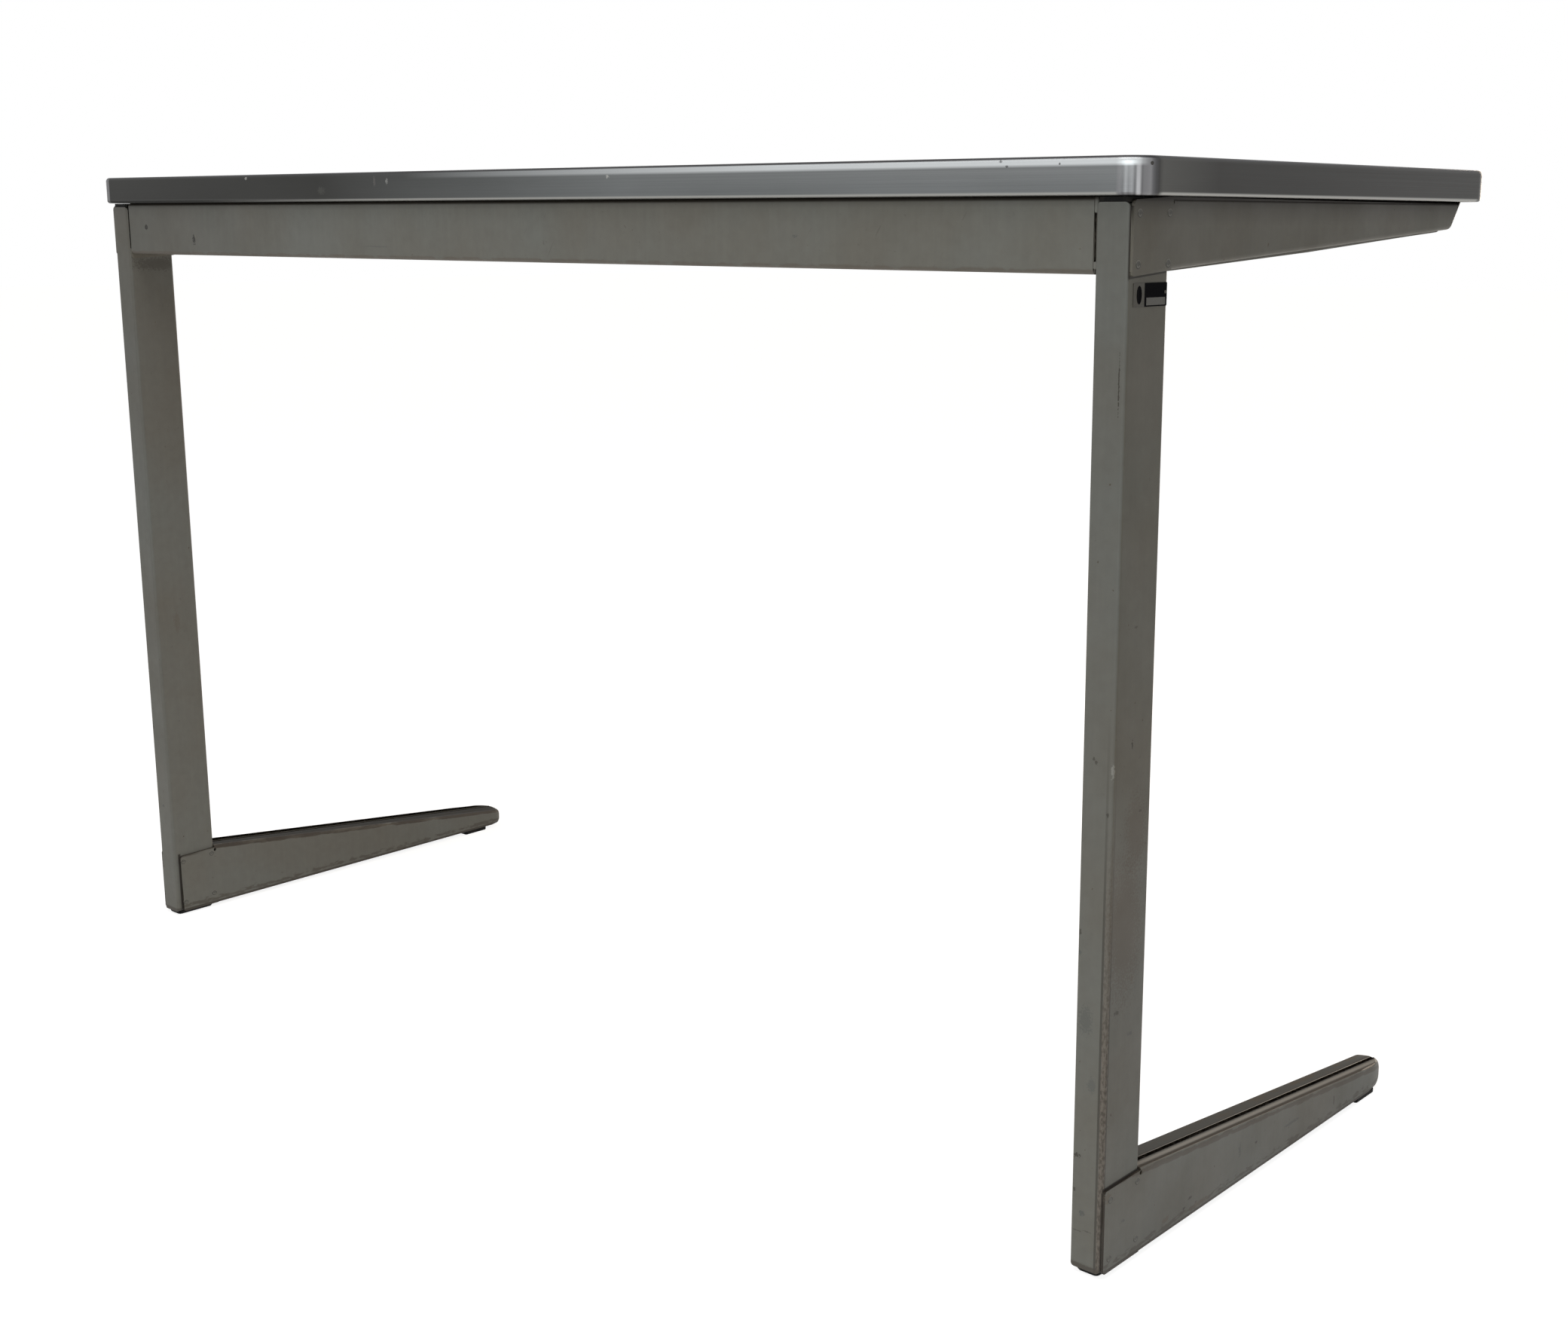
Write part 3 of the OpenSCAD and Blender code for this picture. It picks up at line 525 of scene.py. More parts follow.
def start_piece(add, scale=(1.0, 1.0, 1.0), **how):
    """Adds a primitive, scaled and in its place, and opens it in edit mode."""
    bpy.ops.object.select_all(action="DESELECT")
    add(**how)
    piece = bpy.context.active_object
    piece.scale = scale
    bpy.ops.object.transform_apply(location=True, rotation=True, scale=True)
    bpy.ops.object.mode_set(mode="EDIT")
    return piece


def pick(piece, kind, wanted):
    """Selects the faces or edges for which a test holds, and nothing else."""
    bpy.ops.mesh.select_mode(type=kind)
    bpy.ops.mesh.select_all(action="DESELECT")
    mesh = bmesh.from_edit_mesh(piece.data)
    for part in mesh.faces if kind == "FACE" else mesh.edges:
        if wanted(part):
            part.select = True
    bmesh.update_edit_mesh(piece.data)


def join_as(name, pieces, material):
    """Joins pieces into one, smooths it and lets it ride on the frame."""
    bpy.ops.object.select_all(action="DESELECT")
    for piece in pieces:
        piece.select_set(True)
    bpy.context.view_layer.objects.active = pieces[0]
    bpy.ops.object.join()
    whole = bpy.context.active_object
    whole.name = name
    whole.data.materials.clear()
    whole.data.materials.append(material)
    bpy.ops.object.shade_smooth_by_angle(angle=math.radians(40.0))
    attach(whole, "root")


shaded_weld_dimple, tree, shader, tone = enamel("weld dimple with painted light and shade", 1.5)
facing = add_node(tree, "NewGeometry").outputs["True Normal"]
across, _, up = add_node(tree, "SeparateXYZ", {"Vector": facing}).outputs
flat = reckon("ABSOLUTE", across)
# painted shade on the dimple's sloping faces, a painted highlight on those that face up, and the
# flat faces patchily darkened
sunk = ramp(flat, 0.992, 0.98)
tone = stain(tone, sunk, (0.022, 0.02, 0.016), 0.7)
tone = stain(tone, times(sunk, ramp(up, 0.03, 0.1)), (0.23, 0.22, 0.195), 0.75)
patchy = ramp(noise(tree, 700.0, 3.0), 0.35, 0.5)
tone = stain(tone, times(ramp(flat, 0.994, 0.999), patchy), (0.04, 0.036, 0.03), 0.6)
finish_enamel(shader, tone)

# one spot weld's mark, facing +X: a shallow dish with a raised rim
dimple = start_piece(bpy.ops.mesh.primitive_cylinder_add, vertices=24, radius=0.0028,
                     depth=0.0005, rotation=(0.0, math.pi / 2, 0.0))
pick(dimple, "FACE", lambda face: face.normal.x > 0.9)
for inset, rise in ((0.0005, 0.0001), (0.0002, 0.0), (0.0009, -0.00016), (0.0004, -0.00001)):
    bpy.ops.mesh.inset(thickness=inset)
    bpy.ops.transform.translate(value=(rise, 0.0, 0.0))
bpy.ops.object.mode_set(mode="OBJECT")
dimple_mesh = dimple.data
bpy.data.objects.remove(dimple)
dimple_sunk = 0.00016


def weld_marks(name, places, side):
    """The welds of one arm or foot: four on its outer and four on its inner cheek."""
    marks = []
    for cheek, outward in ((outer_face + 0.002, side), (outer_face - 0.027, -side)):
        for back, height in places:
            mark = bpy.data.objects.new(name, dimple_mesh.copy())
            mark.data.transform(Matrix.Translation((
                side * cheek - outward * dimple_sunk, leg_back - back, height))
                @ Matrix.Rotation(0.0 if outward > 0 else math.pi, 4, "Z"))
            bpy.context.scene.collection.objects.link(mark)
            marks.append(mark)
    join_as(name, marks, shaded_weld_dimple)


def stand_in(node, name, material):
    """A merged copy of a node, ready to be reshaped."""
    bpy.ops.object.select_all(action="DESELECT")
    copy = solids[node].copy()
    copy.data = solids[node].data.copy()
    copy.name = name
    bpy.context.scene.collection.objects.link(copy)
    copy.select_set(True)
    bpy.context.view_layer.objects.active = copy
    bpy.ops.object.mode_set(mode="EDIT")
    bpy.ops.mesh.select_all(action="SELECT")
    bpy.ops.mesh.remove_doubles(threshold=1e-6)
    bpy.ops.object.mode_set(mode="OBJECT")
    copy.data.materials.clear()
    copy.data.materials.append(material)
    return copy


def settle(copy, node):
    """Smooths a reshaped stand-in, keeps its flats flat, and puts it in place of its node."""
    bpy.ops.object.shade_smooth_by_angle(angle=math.radians(35.0))
    bpy.ops.object.modifier_add(type="WEIGHTED_NORMAL")
    copy.modifiers[-1].keep_sharp = True
    bpy.ops.object.modifier_apply(modifier=copy.modifiers[-1].name)
    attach(copy, "root")
    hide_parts(node)


def portion(value, whole):
    """How much of a whole a value is, from 0 to 1."""
    return min(1.0, max(0.0, value / whole))


arm_enamel, tree, shader, tone = enamel("stove enamel of the arms", 2.5)
# painted shade: the arms' enamel is painted darker and warmer than the uprights'
tone = colour_mix(0.4, tone, (0.96, 0.85, 0.68), "MULTIPLY")
# painted shadow under the edging, fading out over the first finger's breadth below it
below_board = reckon("SUBTRACT", underside, axes(tree)["Z"])
for lower, upper, strength in ((0.018, 0.001, 0.6), (0.008, 0.0, 0.5), (0.0036, 0.0022, 0.93)):
    tone = stain(tone, ramp(below_board, lower, upper), (0.02, 0.016, 0.012), strength)
finish_enamel(shader, tone)

arm_welds = [(back, underside - below) for back, below in (
    (0.0082, 0.0105), (0.0425, 0.0102), (0.0078, 0.0415), (0.0422, 0.0412))]
for side, word in ((-1, "left"), (1, "right")):
    for shell in ("arm_outer", "arm_inner"):
        pressing = stand_in(f"{word}_{shell}", f"{word}_{shell}_pressing", arm_enamel)
        for vertex in pressing.data.vertices:
            _, y, z = vertex.co
            # the lower edge rises a little towards the heel, as the press left it
            if word == "left" or shell == "arm_outer" or y < leg_front - 0.0007:
                vertex.co.z += 0.0022 * portion(y - 0.02, 0.178) * portion(
                    underside - 0.014 - z, 0.025)
            # over the upright the edge carries on down to the heel
            if y > leg_front - 0.0007 and z < underside - 0.048:
                if shell == "arm_outer":
                    vertex.co.z += 0.0031 - 0.0037 * min(1.0, (y - leg_front) / 0.0445)
                elif word == "left":
                    vertex.co.z = max(vertex.co.z, 0.6788)
            # the cheek runs up to the board
            if y > leg_front - 0.0005 and z > underside - 0.0065:
                vertex.co.z += (underside - 0.0002 - z) * portion(leg_back - 0.0015 - y, 0.006)
        settle(pressing, f"{word}_{shell}")
    weld_marks(f"{word}_arm_weld_marks", arm_welds, side)

# ----------------------------
# The feet: pressed shells like the arms', open below and drawn round at the outer
# corner of the nose. Their upper faces are painted dark as shade, the lapped seam
# along the top is painted black as shade, the fold beside it carries a painted
# highlight, and below runs a broken brown line where shoes have worn it.
# ----------------------------

foot_low, foot_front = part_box("left_foot_outer")[0][2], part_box("left_foot_outer")[0][1]
cheek_face = -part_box("left_foot_outer")[0][0]
seam_at = cheek_face - 0.0115
heel_top, nose_top = foot_low + 0.0635, foot_low + 0.0185
slope = (heel_top - nose_top) / (leg_front - foot_front)
slant = math.hypot(1.0, slope)
across_top = (0.0, -slope / slant, 1.0 / slant)
top_level = (heel_top - slope * leg_front) / slant

# How far a face looks up: level, nearly so, or only a little.
lie, given, result = new_group("how a face lies", results=("Up", "Above", "Rounding"))
facing = add_node(lie, "NewGeometry").outputs["Normal"]
up = add_node(lie, "SeparateXYZ", {"Vector": facing}).outputs["Z"]
for label, low, high in (("Up", 0.965, 0.985), ("Above", 0.55, 0.7), ("Rounding", 0.1, 0.3)):
    feed(result[label], ramp(up, low, high))

# The faces of a cheek's cut edges at the heel, which look to the rear, up or down.
cut_edge, given, result = new_group("cut edge of a cheek")
facing = add_node(cut_edge, "NewGeometry").outputs["Normal"]
sideways = reckon("ABSOLUTE", add_node(cut_edge, "SeparateXYZ", {"Vector": facing}).outputs["X"])
feed(result["Mask"], times(ramp(sideways, 0.75, 0.45), ramp(
    axes(cut_edge)["Y"], leg_front - 0.001, leg_front + 0.0005)))

foot_enamel, tree, shader, tone = enamel("stove enamel of the feet", 8.0)
x, y, z = axes(tree)
lying = place_group(tree, lie)
# painted shade: faces that look up are painted dark
tone = stain(tone, lying["Up"], (0.043, 0.044, 0.042), 0.87)
# broken brown lines run below the upper fold and along the lower edge; the dark line right on the
# lower edge is also painted shade where the fold turns under
for across, level, reach, whole, grain, hardness, colour, strength in (
        (across_top, top_level - 0.0028, 0.0028, 0.5, 150.0, 9.0, (0.066, 0.053, 0.038), 0.7),
        ((0.0, 0.0, 1.0), foot_low + 0.0003, 0.0028, 0.8, 190.0, 5.0, (0.04, 0.031, 0.023), 0.85),
        ((0.0, 0.0, 1.0), foot_low + 0.005, 0.006, 0.31, 320.0, 9.0, (0.055, 0.044, 0.033), 0.6)):
    line = place_group(tree, worn_line, Across=across, Level=level, Half_width=reach,
                       Share=whole, Grain=grain, Hardness=hardness)
    tone = stain(tone, line["Mask"], colour, strength)
# painted shade on the upper faces to both sides of the seam
from_inside = reckon("ABSOLUTE", x)
from_seam = reckon("ABSOLUTE", reckon("SUBTRACT", from_inside, seam_at))
tone = stain(tone, times(ramp(from_seam, 0.0045, 0.002), lying["Up"]), (0.02, 0.019, 0.016), 0.6)
# a painted highlight between the seam and the fold, and the fold itself is worn brown
from_cheek = reckon("SUBTRACT", cheek_face, from_inside)
for centre, reach, colour, strength in ((0.006, 0.0032, (0.27, 0.258, 0.236), 0.95),
                                        (0.0021, 0.0023, (0.036, 0.027, 0.019), 0.85)):
    away = reckon("ABSOLUTE", reckon("SUBTRACT", from_cheek, centre))
    tone = stain(tone, times(ramp(away, reach, reach * 0.3), lying["Above"]), colour, strength)
# along the inner fold lies a dark brown line
browned = noise(tree, 60.0, 5.0, stretch=(1.0, 0.4, 1.0), shift=4.0)
tone = stain(tone, times(ramp(from_cheek, 0.0245, 0.0262), lying["Rounding"],
                         ramp(browned, 0.32, 0.45)), (0.024, 0.017, 0.012), 0.8)
# painted shade: the far foot's upper face is painted near-black
tone = stain(tone, times(ramp(x, 0.0, 0.1), lying["Up"]), (0.012, 0.01, 0.008), 0.7)
tone = stain(tone, place_group(tree, cut_edge)["Mask"], (0.02, 0.014, 0.009), 0.95)
tone = spots(tone, [((-cheek_face, y, z), (0.003, half_y, half_z), colour, 0.7)
                    for y, z, half_y, half_z, colour in (
    (0.0357, 0.0276, 0.0016, 0.0012, dirt), (0.1301, 0.0186, 0.003, 0.0012, dirt),
    (0.1383, 0.0131, 0.0018, 0.0012, dirt), (0.219, 0.0359, 0.0024, 0.0013, scuff),
    (0.239, 0.0605, 0.004, 0.0045, rubbed_primer), (0.1632, 0.0144, 0.005, 0.0022, rubbed_primer),
    (0.1172, 0.0094, 0.016, 0.0022, rubbed_primer), (0.06, 0.03, 0.002, 0.006, scuff),
    (-0.02, 0.024, 0.014, 0.0015, scuff), (-0.09, 0.019, 0.0012, 0.004, dirt))])
finish_enamel(shader, tone, lying["Up"])

near_black_shade = grained("near-black painted shade", (300.0, 4.0),
                     ((0.003, 0.0025, 0.002), (0.03, 0.026, 0.021)), (-1.5, 0.9),
                     (0.2, 0.0002), spread=(0.45, 0.75), Specular_IOR_Level=0.0)

bend, sheet, foot_width = 0.0035, 0.002, 0.029
nose_half, nose_back, nose_forward = 0.018, 0.031, 0.007


def press_foot(word, side, shell):
    """Stands in for a foot's shell, with crisp folds and a rounded nose."""
    foot = stand_in(f"{word}_foot_{shell}", f"{word}_foot_{shell}_pressing", foot_enamel)
    bpy.ops.object.mode_set(mode="EDIT")
    for behind in (0.012, 0.045):
        bpy.ops.mesh.select_all(action="SELECT")
        bpy.ops.mesh.bisect(plane_co=(0.0, foot_front + behind, 0.0), plane_no=(0.0, 1.0, 0.0))
    for inward in (0.0004, 0.0012, 0.0024, 0.004, 0.006, 0.0078, 0.0096, 0.0135, 0.0155,
                   nose_half, 0.023, 0.0255, 0.0276):
        bpy.ops.mesh.select_all(action="SELECT")
        bpy.ops.mesh.bisect(plane_co=(side * (cheek_face - inward), 0.0, 0.0),
                            plane_no=(1.0, 0.0, 0.0))
    bpy.ops.object.mode_set(mode="OBJECT")
    foot.data.materials.append(near_black_shade)
    for face in foot.data.polygons:
        beside_seam = abs(abs(face.center.x) - seam_at) < 0.00198
        # on the far foot the near-black painted shade covers the upper face from the seam outwards
        if face.normal.z > 0.9 and (beside_seam or face.center.x > seam_at - 0.004):
            face.material_index = 1
    outward = 1 if shell == "outer" else -1
    bend_middle = cheek_face - bend if shell == "outer" else cheek_face - foot_width + bend
    for vertex in foot.data.vertices:
        between_ends = foot_front + 0.011 < vertex.co.y < leg_front + 0.0001
        # the lower fold is folded nearly sharp, so it runs on level with the cheek's edge
        out = outward * (abs(vertex.co.x) - bend_middle)
        down = foot_low + bend - vertex.co.z
        if between_ends and out > 0.0001 and down > 0.0001:
            reach = math.hypot(out, down)
            more = 0.85 * (reach / max(out, down) - 1.0) if reach < bend + 0.00005 else 0.0
            vertex.co.z -= down * more
            vertex.co.x += math.copysign(out * more, vertex.co.x) * outward
        # so is the upper fold of the outer shell
        edge_z = heel_top - slope * (leg_front - vertex.co.y)
        up = vertex.co.z - (edge_z - bend)
        if shell == "outer" and between_ends and out > 0.0001 and up > 0.0001:
            reach = math.hypot(out, up)
            more = 0.75 * (reach / max(out, up) - 1.0) if reach < bend + 0.0002 else 0.0
            more *= min(1.0, (vertex.co.y - foot_front - 0.011) / 0.02)
            vertex.co.z += up * more
            vertex.co.x += math.copysign(out * more, vertex.co.x)
        # the inner cheek stops short of the upright's rear
        if shell == "inner" and vertex.co.y > leg_back - 0.006:
            vertex.co.y -= 0.0045
        inward = cheek_face - abs(vertex.co.x)
        # and its top rises out of the seam to the level of the outer shell's
        along = portion(vertex.co.y - foot_front, leg_front - foot_front)
        below_edge = edge_z - sheet - vertex.co.z
        if (shell == "inner" and inward > 0.0119 and below_edge < bend
                and vertex.co.y < leg_front + 0.0001):
            across = 1.0 - portion(inward - 0.0155, 0.012)
            flat = along + (1.0 - along) * across
            vertex.co.z += 0.0018 * flat * portion(bend - below_edge, bend)
        # the nose is drawn back round its outer corner, and a little round its inner one
        near_cheek = max(0.0, 1.0 - max(0.0, inward) / nose_half)
        pulled = nose_back * (1.0 - math.sqrt(1.0 - near_cheek * near_cheek)) - nose_forward
        pulled += 0.008 * (1.0 - math.sqrt(1.0 - portion(inward - 0.0215, 0.0078) ** 2))
        pulled *= portion(foot_front + 0.045 - vertex.co.y, 0.033)
        # what is moved stays on the slope of the top
        vertex.co.y += pulled
        vertex.co.z += slope * pulled * portion(vertex.co.z - foot_low, 0.0185)
    settle(foot, f"{word}_foot_{shell}")


foot_welds = [(0.0084, 0.0581), (0.0418, 0.0593), (0.0419, 0.0157), (0.0084, 0.0143)]
for side, word in ((-1, "left"), (1, "right")):
    for shell in ("outer", "inner"):
        press_foot(word, side, shell)
    weld_marks(f"{word}_foot_weld_marks", foot_welds, side)

# ----------------------------
# The rail: a folded channel between the inner cheeks, enamelled with the legs. At
# its left end the slit beside the upright is closed by two short weld beads; near
# its right end it has a small round dent and a scratch. A near-black strip of
# painted shade lies in both slits.
# ----------------------------

rail_end, rail_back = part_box("rear_rail")[1][:2]
rail_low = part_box("rear_rail")[0][2]

rail_enamel, tree, shader, tone = enamel("stove enamel of the rail", 6.0)
x, y, z = axes(tree)
tone = tint(tone, ramp(x, 0.5, 0.25), (1.17, 1.17, 1.16))
tone = spots(tone, (
    ((0.4495, rail_back, 0.6925), (0.0024, 0.002, 0.0048), (0.012, 0.01, 0.008), 0.95),
    ((0.4475, rail_back, 0.6955), (0.001, 0.002, 0.0018), (0.16, 0.15, 0.125), 0.8),
    ((0.17, rail_back, 0.6885), (0.02, 0.002, 0.0006), scuff, 0.5),
    ((-0.31, rail_back, 0.7), (0.003, 0.002, 0.0012), scuff, 0.6)))
# painted shadow under the board along the rail's top
below_board = reckon("SUBTRACT", underside, z)
for lower, upper, strength in ((0.007, 0.0, 0.55), (0.003, 0.0018, 0.9)):
    tone = stain(tone, ramp(below_board, lower, upper), (0.02, 0.016, 0.012), strength)
low_edge = place_group(tree, worn_line, Level=rail_low, Half_width=0.004, Share=0.55, Grain=90.0)
tone = stain(tone, low_edge["Mask"], (0.105, 0.086, 0.068), 0.6)
finish_enamel(shader, tone)
finish_solid("rear_rail", rail_enamel)


def weld_bead(low, high):
    """A short bead of weld in the slit between the rail's end and the upright."""
    bead = start_piece(bpy.ops.mesh.primitive_cylinder_add, vertices=16, radius=0.0019,
                       depth=high - low,
                       location=(-rail_end - 0.0014, rail_back - 0.0016, (low + high) / 2))
    pick(bead, "FACE", lambda face: abs(face.normal.z) > 0.9)
    bpy.ops.mesh.bevel(offset=0.0012, segments=3)
    bpy.ops.object.mode_set(mode="OBJECT")
    return bead


def slit_shade(x, width, low, high):
    """A near-black strip of painted shade in the slit beside the rail's end, a little below its
    face.
    """
    strip = start_piece(bpy.ops.mesh.primitive_cube_add, (width, 0.0013, high - low), size=1.0,
                        location=(x, rail_back - 0.0008, (low + high) / 2))
    bpy.ops.mesh.select_all(action="SELECT")
    bpy.ops.mesh.bevel(offset=0.0003, segments=2)
    bpy.ops.object.mode_set(mode="OBJECT")
    return strip


join_as("left_rail_weld_beads", [weld_bead(0.7155, 0.7258), weld_bead(0.6812, 0.6862)],
        rail_enamel)
join_as("rail_slit_shade", [slit_shade(-rail_end - 0.0011, 0.0011, 0.6855, 0.7162),
                            slit_shade(rail_end + 0.0012, 0.002, 0.6832, 0.7245)],
        near_black_shade)

dent_black, tree, shader = new_material("dark bottom of the dent")
grit = noise(tree, 1500.0, 3.0)
feed(shader.inputs["Base Color"], colour_mix(grit, (0.006, 0.006, 0.005), (0.03, 0.026, 0.02)))
feed(shader.inputs["Roughness"], ramp(grit, -1.0, 1.2))
dent = start_piece(bpy.ops.mesh.primitive_cylinder_add, vertices=20, radius=0.0023, depth=0.0006,
                   location=(0.531, rail_back - 0.00012, 0.7035),
                   rotation=(math.pi / 2, 0.0, 0.0))
pick(dent, "FACE", lambda face: face.normal.y > 0.9)
bpy.ops.mesh.inset(thickness=0.0005)
bpy.ops.transform.translate(value=(0.0, -0.00015, 0.0))
bpy.ops.object.mode_set(mode="OBJECT")
join_as("rail_dent", [dent], dent_black)

# ----------------------------
# The plate on the left upright's outer side, below the arm: sheet aluminium with
# a black enamelled field that holds a blank panel, fixed with one small rivet. A
# black oval is sunk beside the field. It carries no words.
# ----------------------------

plate_rear, plate_front = leg_back - 0.006, leg_back - 0.0444
plate_low, plate_high = 0.6585, 0.6732
plate_middle = (plate_low + plate_high) / 2
field_rear = leg_back - 0.0184
panel_rear, panel_front = leg_back - 0.0208, leg_back - 0.0426
panel_low, panel_high = plate_low + 0.0008, plate_low + 0.0055

plate_metal, tree, shader = new_material("dulled plate aluminium")
rolled = noise(tree, 1.0, 2.0, stretch=(1.0, 30.0, 2200.0))
finish(shader, colour_mix(rolled, (0.05, 0.046, 0.038), (0.09, 0.085, 0.072)),
       ramp(rolled, -0.8, 1.2), rolled, 0.1, 0.0001, Metallic=0.5)
plate_black = grained("black plate enamel", (500.0, 4.0),
                      ((0.0004, 0.0004, 0.0008), (0.003, 0.003, 0.004)), (-0.9, 1.3),
                      (0.05, 0.0001), spread=(0.4, 0.8), Specular_IOR_Level=0.02)
plate_panel = grained("blank plate panel", (700.0, 4.0),
                      ((0.075, 0.073, 0.065), (0.1, 0.097, 0.088)), (-0.8, 1.2), (0.05, 0.0001))

plate = start_piece(
    bpy.ops.mesh.primitive_cube_add, (0.0006, plate_rear - plate_front, plate_high - plate_low),
    size=1.0, location=(-outer_face - 0.0001, (plate_rear + plate_front) / 2, plate_middle))
for material in (plate_metal, plate_black, plate_panel):
    plate.data.materials.append(material)
pick(plate, "EDGE", lambda edge: abs((edge.verts[0].co - edge.verts[1].co).x) > 0.0003)
bpy.ops.mesh.bevel(offset=0.0008, segments=3)
for cut_y in (field_rear, panel_rear, panel_front):
    bpy.ops.mesh.select_all(action="SELECT")
    bpy.ops.mesh.bisect(plane_co=(0.0, cut_y, 0.0), plane_no=(0.0, 1.0, 0.0))
for cut_z in (panel_low, panel_high):
    bpy.ops.mesh.select_all(action="SELECT")
    bpy.ops.mesh.bisect(plane_co=(0.0, 0.0, cut_z), plane_no=(0.0, 0.0, 1.0))


def in_field(face):
    """Whether a face is part of the black field."""
    return face.normal.x < -0.9 and face.calc_center_median().y < field_rear


def in_panel(face):
    """Whether a face is part of the blank panel in the field."""
    _, y, z = face.calc_center_median()
    return in_field(face) and panel_front < y < panel_rear and panel_low < z < panel_high


mesh = bmesh.from_edit_mesh(plate.data)
for face in mesh.faces:
    face.material_index = 2 if in_panel(face) else 1 if in_field(face) else 0
pick(plate, "FACE", in_panel)
bpy.ops.mesh.inset(thickness=0.00015)
bpy.ops.transform.translate(value=(0.00008, 0.0, 0.0))
bpy.ops.object.mode_set(mode="OBJECT")
plate.name = "left_upright_plate"
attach(plate, "root")

recess = start_piece(bpy.ops.mesh.primitive_cylinder_add, (2.7, 1.35, 1.0), vertices=24,
                     radius=0.0021, depth=0.0003,
                     location=(-outer_face - 0.00038, leg_back - 0.0124, plate_middle),
                     rotation=(0.0, -math.pi / 2, 0.0))
pick(recess, "FACE", lambda face: face.normal.x < -0.9)
bpy.ops.mesh.inset(thickness=0.0004)
bpy.ops.transform.translate(value=(0.0001, 0.0, 0.0))
bpy.ops.object.mode_set(mode="OBJECT")
join_as("left_upright_plate_recess", [recess], plate_black)

rivet = start_piece(bpy.ops.mesh.primitive_uv_sphere_add, (0.55, 1.0, 1.0), segments=16,
                    ring_count=10, radius=0.0011,
                    location=(-outer_face - 0.0004, leg_back - 0.0424, 0.6672))
bpy.ops.mesh.select_all(action="SELECT")
bpy.ops.mesh.bisect(plane_co=(-outer_face - 0.0002, 0.0, 0.0), plane_no=(1.0, 0.0, 0.0),
                    clear_outer=True, use_fill=True)
bpy.ops.object.mode_set(mode="OBJECT")
join_as("left_upright_plate_rivet", [rivet], plate_metal)

# ----------------------------
# The glides and the uprights' caps: black moulded plastic, pushed into the
# uprights' open ends and between the lips under the feet. Their soles are scuffed.
# ----------------------------

glide_plastic = grained("black moulded plastic", (180.0, 4.0),
                        ((0.004, 0.004, 0.0037), (0.02, 0.018, 0.016)), (-0.8, 1.2),
                        (0.2, 0.0002), spread=(0.5, 0.75), Specular_IOR_Level=0.12)
for word in ("left", "right"):
    finish_solid(f"{word}_front_glide", glide_plastic)
    finish_solid(f"{word}_upright_cap", glide_plastic)
    worn_glide = stand_in(f"{word}_rear_glide", f"{word}_rear_glide_worn", glide_plastic)
    low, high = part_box(f"{word}_rear_glide")
    middle_x, middle_y = (low[0] + high[0]) / 2, (low[1] + high[1]) / 2
    for vertex in worn_glide.data.vertices:
        if vertex.co.z < 0.0045:
            # the sole is moulded narrower than the plug and worn round at its edge
            down = 1.0 - vertex.co.z / 0.004
            vertex.co.x = middle_x + (vertex.co.x - middle_x) * (0.93 - 0.16 * down * down)
            vertex.co.y = middle_y + (vertex.co.y - middle_y) * (0.97 - 0.07 * down * down)
    settle(worn_glide, f"{word}_rear_glide")

# ----------------------------
# The studio: a white floor and surround, a camera behind the desk's rear corner,
# and three big soft lights.
# ----------------------------

# the lens is measured with the frame's width as 2081 parts
image_width = 2081.0
focal_length, shift_right, shift_down = 2690.82, 108.476, -0.736
camera_place = (-1.28459, 1.31645, 0.71029)
camera_yaw, camera_pitch, camera_roll = 0.702526, 0.214974, -0.00197

lens = bpy.data.cameras.new("camera")
lens.sensor_width = 36.0
lens.lens = focal_length / image_width * lens.sensor_width
lens.shift_x = -shift_right / image_width
lens.shift_y = shift_down / image_width
camera = bpy.data.objects.new("camera", lens)
bpy.context.scene.collection.objects.link(camera)
camera.rotation_mode = "QUATERNION"
camera.matrix_world = (Matrix.Translation(camera_place)
                       @ Matrix.Rotation(math.pi + camera_yaw, 4, "Z")
                       @ Matrix.Rotation(math.pi / 2 - camera_pitch, 4, "X")
                       @ Matrix.Rotation(-camera_roll, 4, "Z"))
bpy.context.scene.camera = camera


def seen_or_lighting(tree, lighting, seen):
    """One shader for what lights the desk, and one for what is seen, straight or in metal."""
    rays = add_node(tree, "LightPath").outputs
    seen_directly = reckon("MAXIMUM", rays["Is Camera Ray"], reckon(
        "MAXIMUM", rays["Is Glossy Ray"], rays["Is Transmission Ray"]))
    return add_node(tree, "MixShader", {
        0: seen_directly, 1: lighting, 2: seen}).outputs["Shader"]


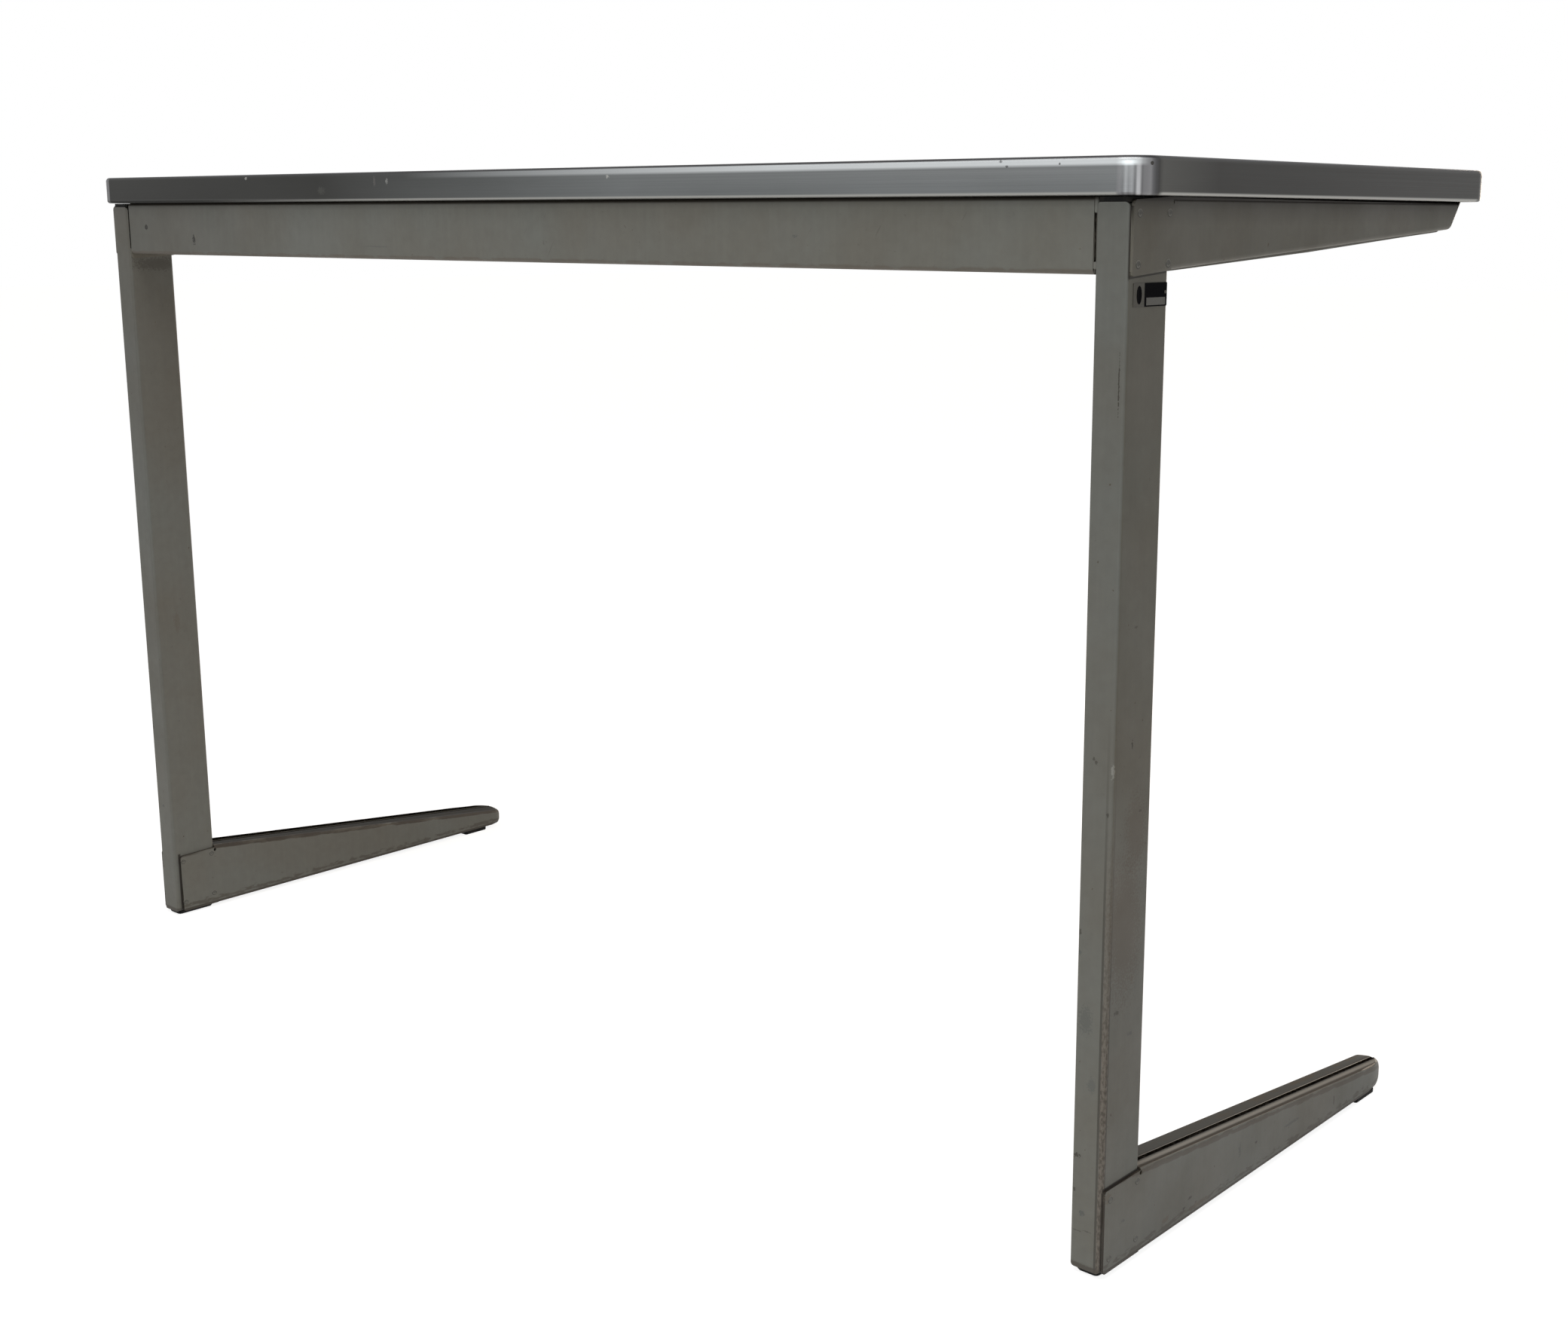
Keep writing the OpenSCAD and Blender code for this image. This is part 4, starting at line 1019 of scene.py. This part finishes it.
bpy.ops.object.select_all(action="DESELECT")
bpy.ops.mesh.primitive_plane_add(size=40.0, location=(0.0, 0.0, 0.0))
floor = bpy.context.active_object
floor.name = "studio floor"
floor_white, tree, shader = new_material("studio floor white")
for label, value in (("Base Color", (0.8, 0.8, 0.8)), ("Roughness", 1.0),
                     ("Specular IOR Level", 0.0)):
    feed(shader.inputs[label], value)
glow = add_node(tree, "Emission", {"Strength": 0.865}).outputs["Emission"]
dim = add_node(tree, "BsdfDiffuse", {"Color": (0.4, 0.4, 0.4)}).outputs["BSDF"]
backdrop = add_node(tree, "AddShader", {0: glow, 1: dim}).outputs["Shader"]
output = tree.get_output_node("ALL")
feed(output.inputs["Surface"], seen_or_lighting(tree, shader.outputs["BSDF"], backdrop))
floor.data.materials.append(floor_white)

world = bpy.data.worlds.new("studio surround")
world.use_nodes = True
bpy.context.scene.world = world
tree = world.node_tree
tree.nodes.clear()
seen = add_node(tree, "Background", {"Color": (1.0, 1.0, 1.0), "Strength": 1.0})
lighting = add_node(tree, "Background", {"Color": (1.0, 0.97, 0.92), "Strength": 0.35})
add_node(tree, "OutputWorld", {"Surface": seen_or_lighting(
    tree, lighting.outputs["Background"], seen.outputs["Background"])})


def soft_light(name, place, target, size, power, colour):
    """A square area light aimed at a point."""
    light = bpy.data.lights.new(name, "AREA")
    light.size = size
    light.energy = power
    light.color = colour
    lamp = bpy.data.objects.new(name, light)
    bpy.context.scene.collection.objects.link(lamp)
    lamp.location = place
    lamp.rotation_euler = (Vector(target) - Vector(place)).to_track_quat("-Z", "Y").to_euler()


soft_light("rear soft light", (-0.9, 2.2, 0.25), (0.0, 0.24, 0.1), 1.6, 19.0, (0.94, 1.0, 1.0))
soft_light("side soft light", (-0.2, -1.9, 0.85), (0.5, 0.1, 0.3), 0.6, 13.0, (1.0, 0.8, 0.6))
soft_light("overhead soft light", (-0.3, 0.5, 2.4), (-0.2, 0.3, 0.0), 1.6, 30.0, (1.0, 0.99, 0.97))

bpy.context.scene.view_settings.view_transform = "Standard"
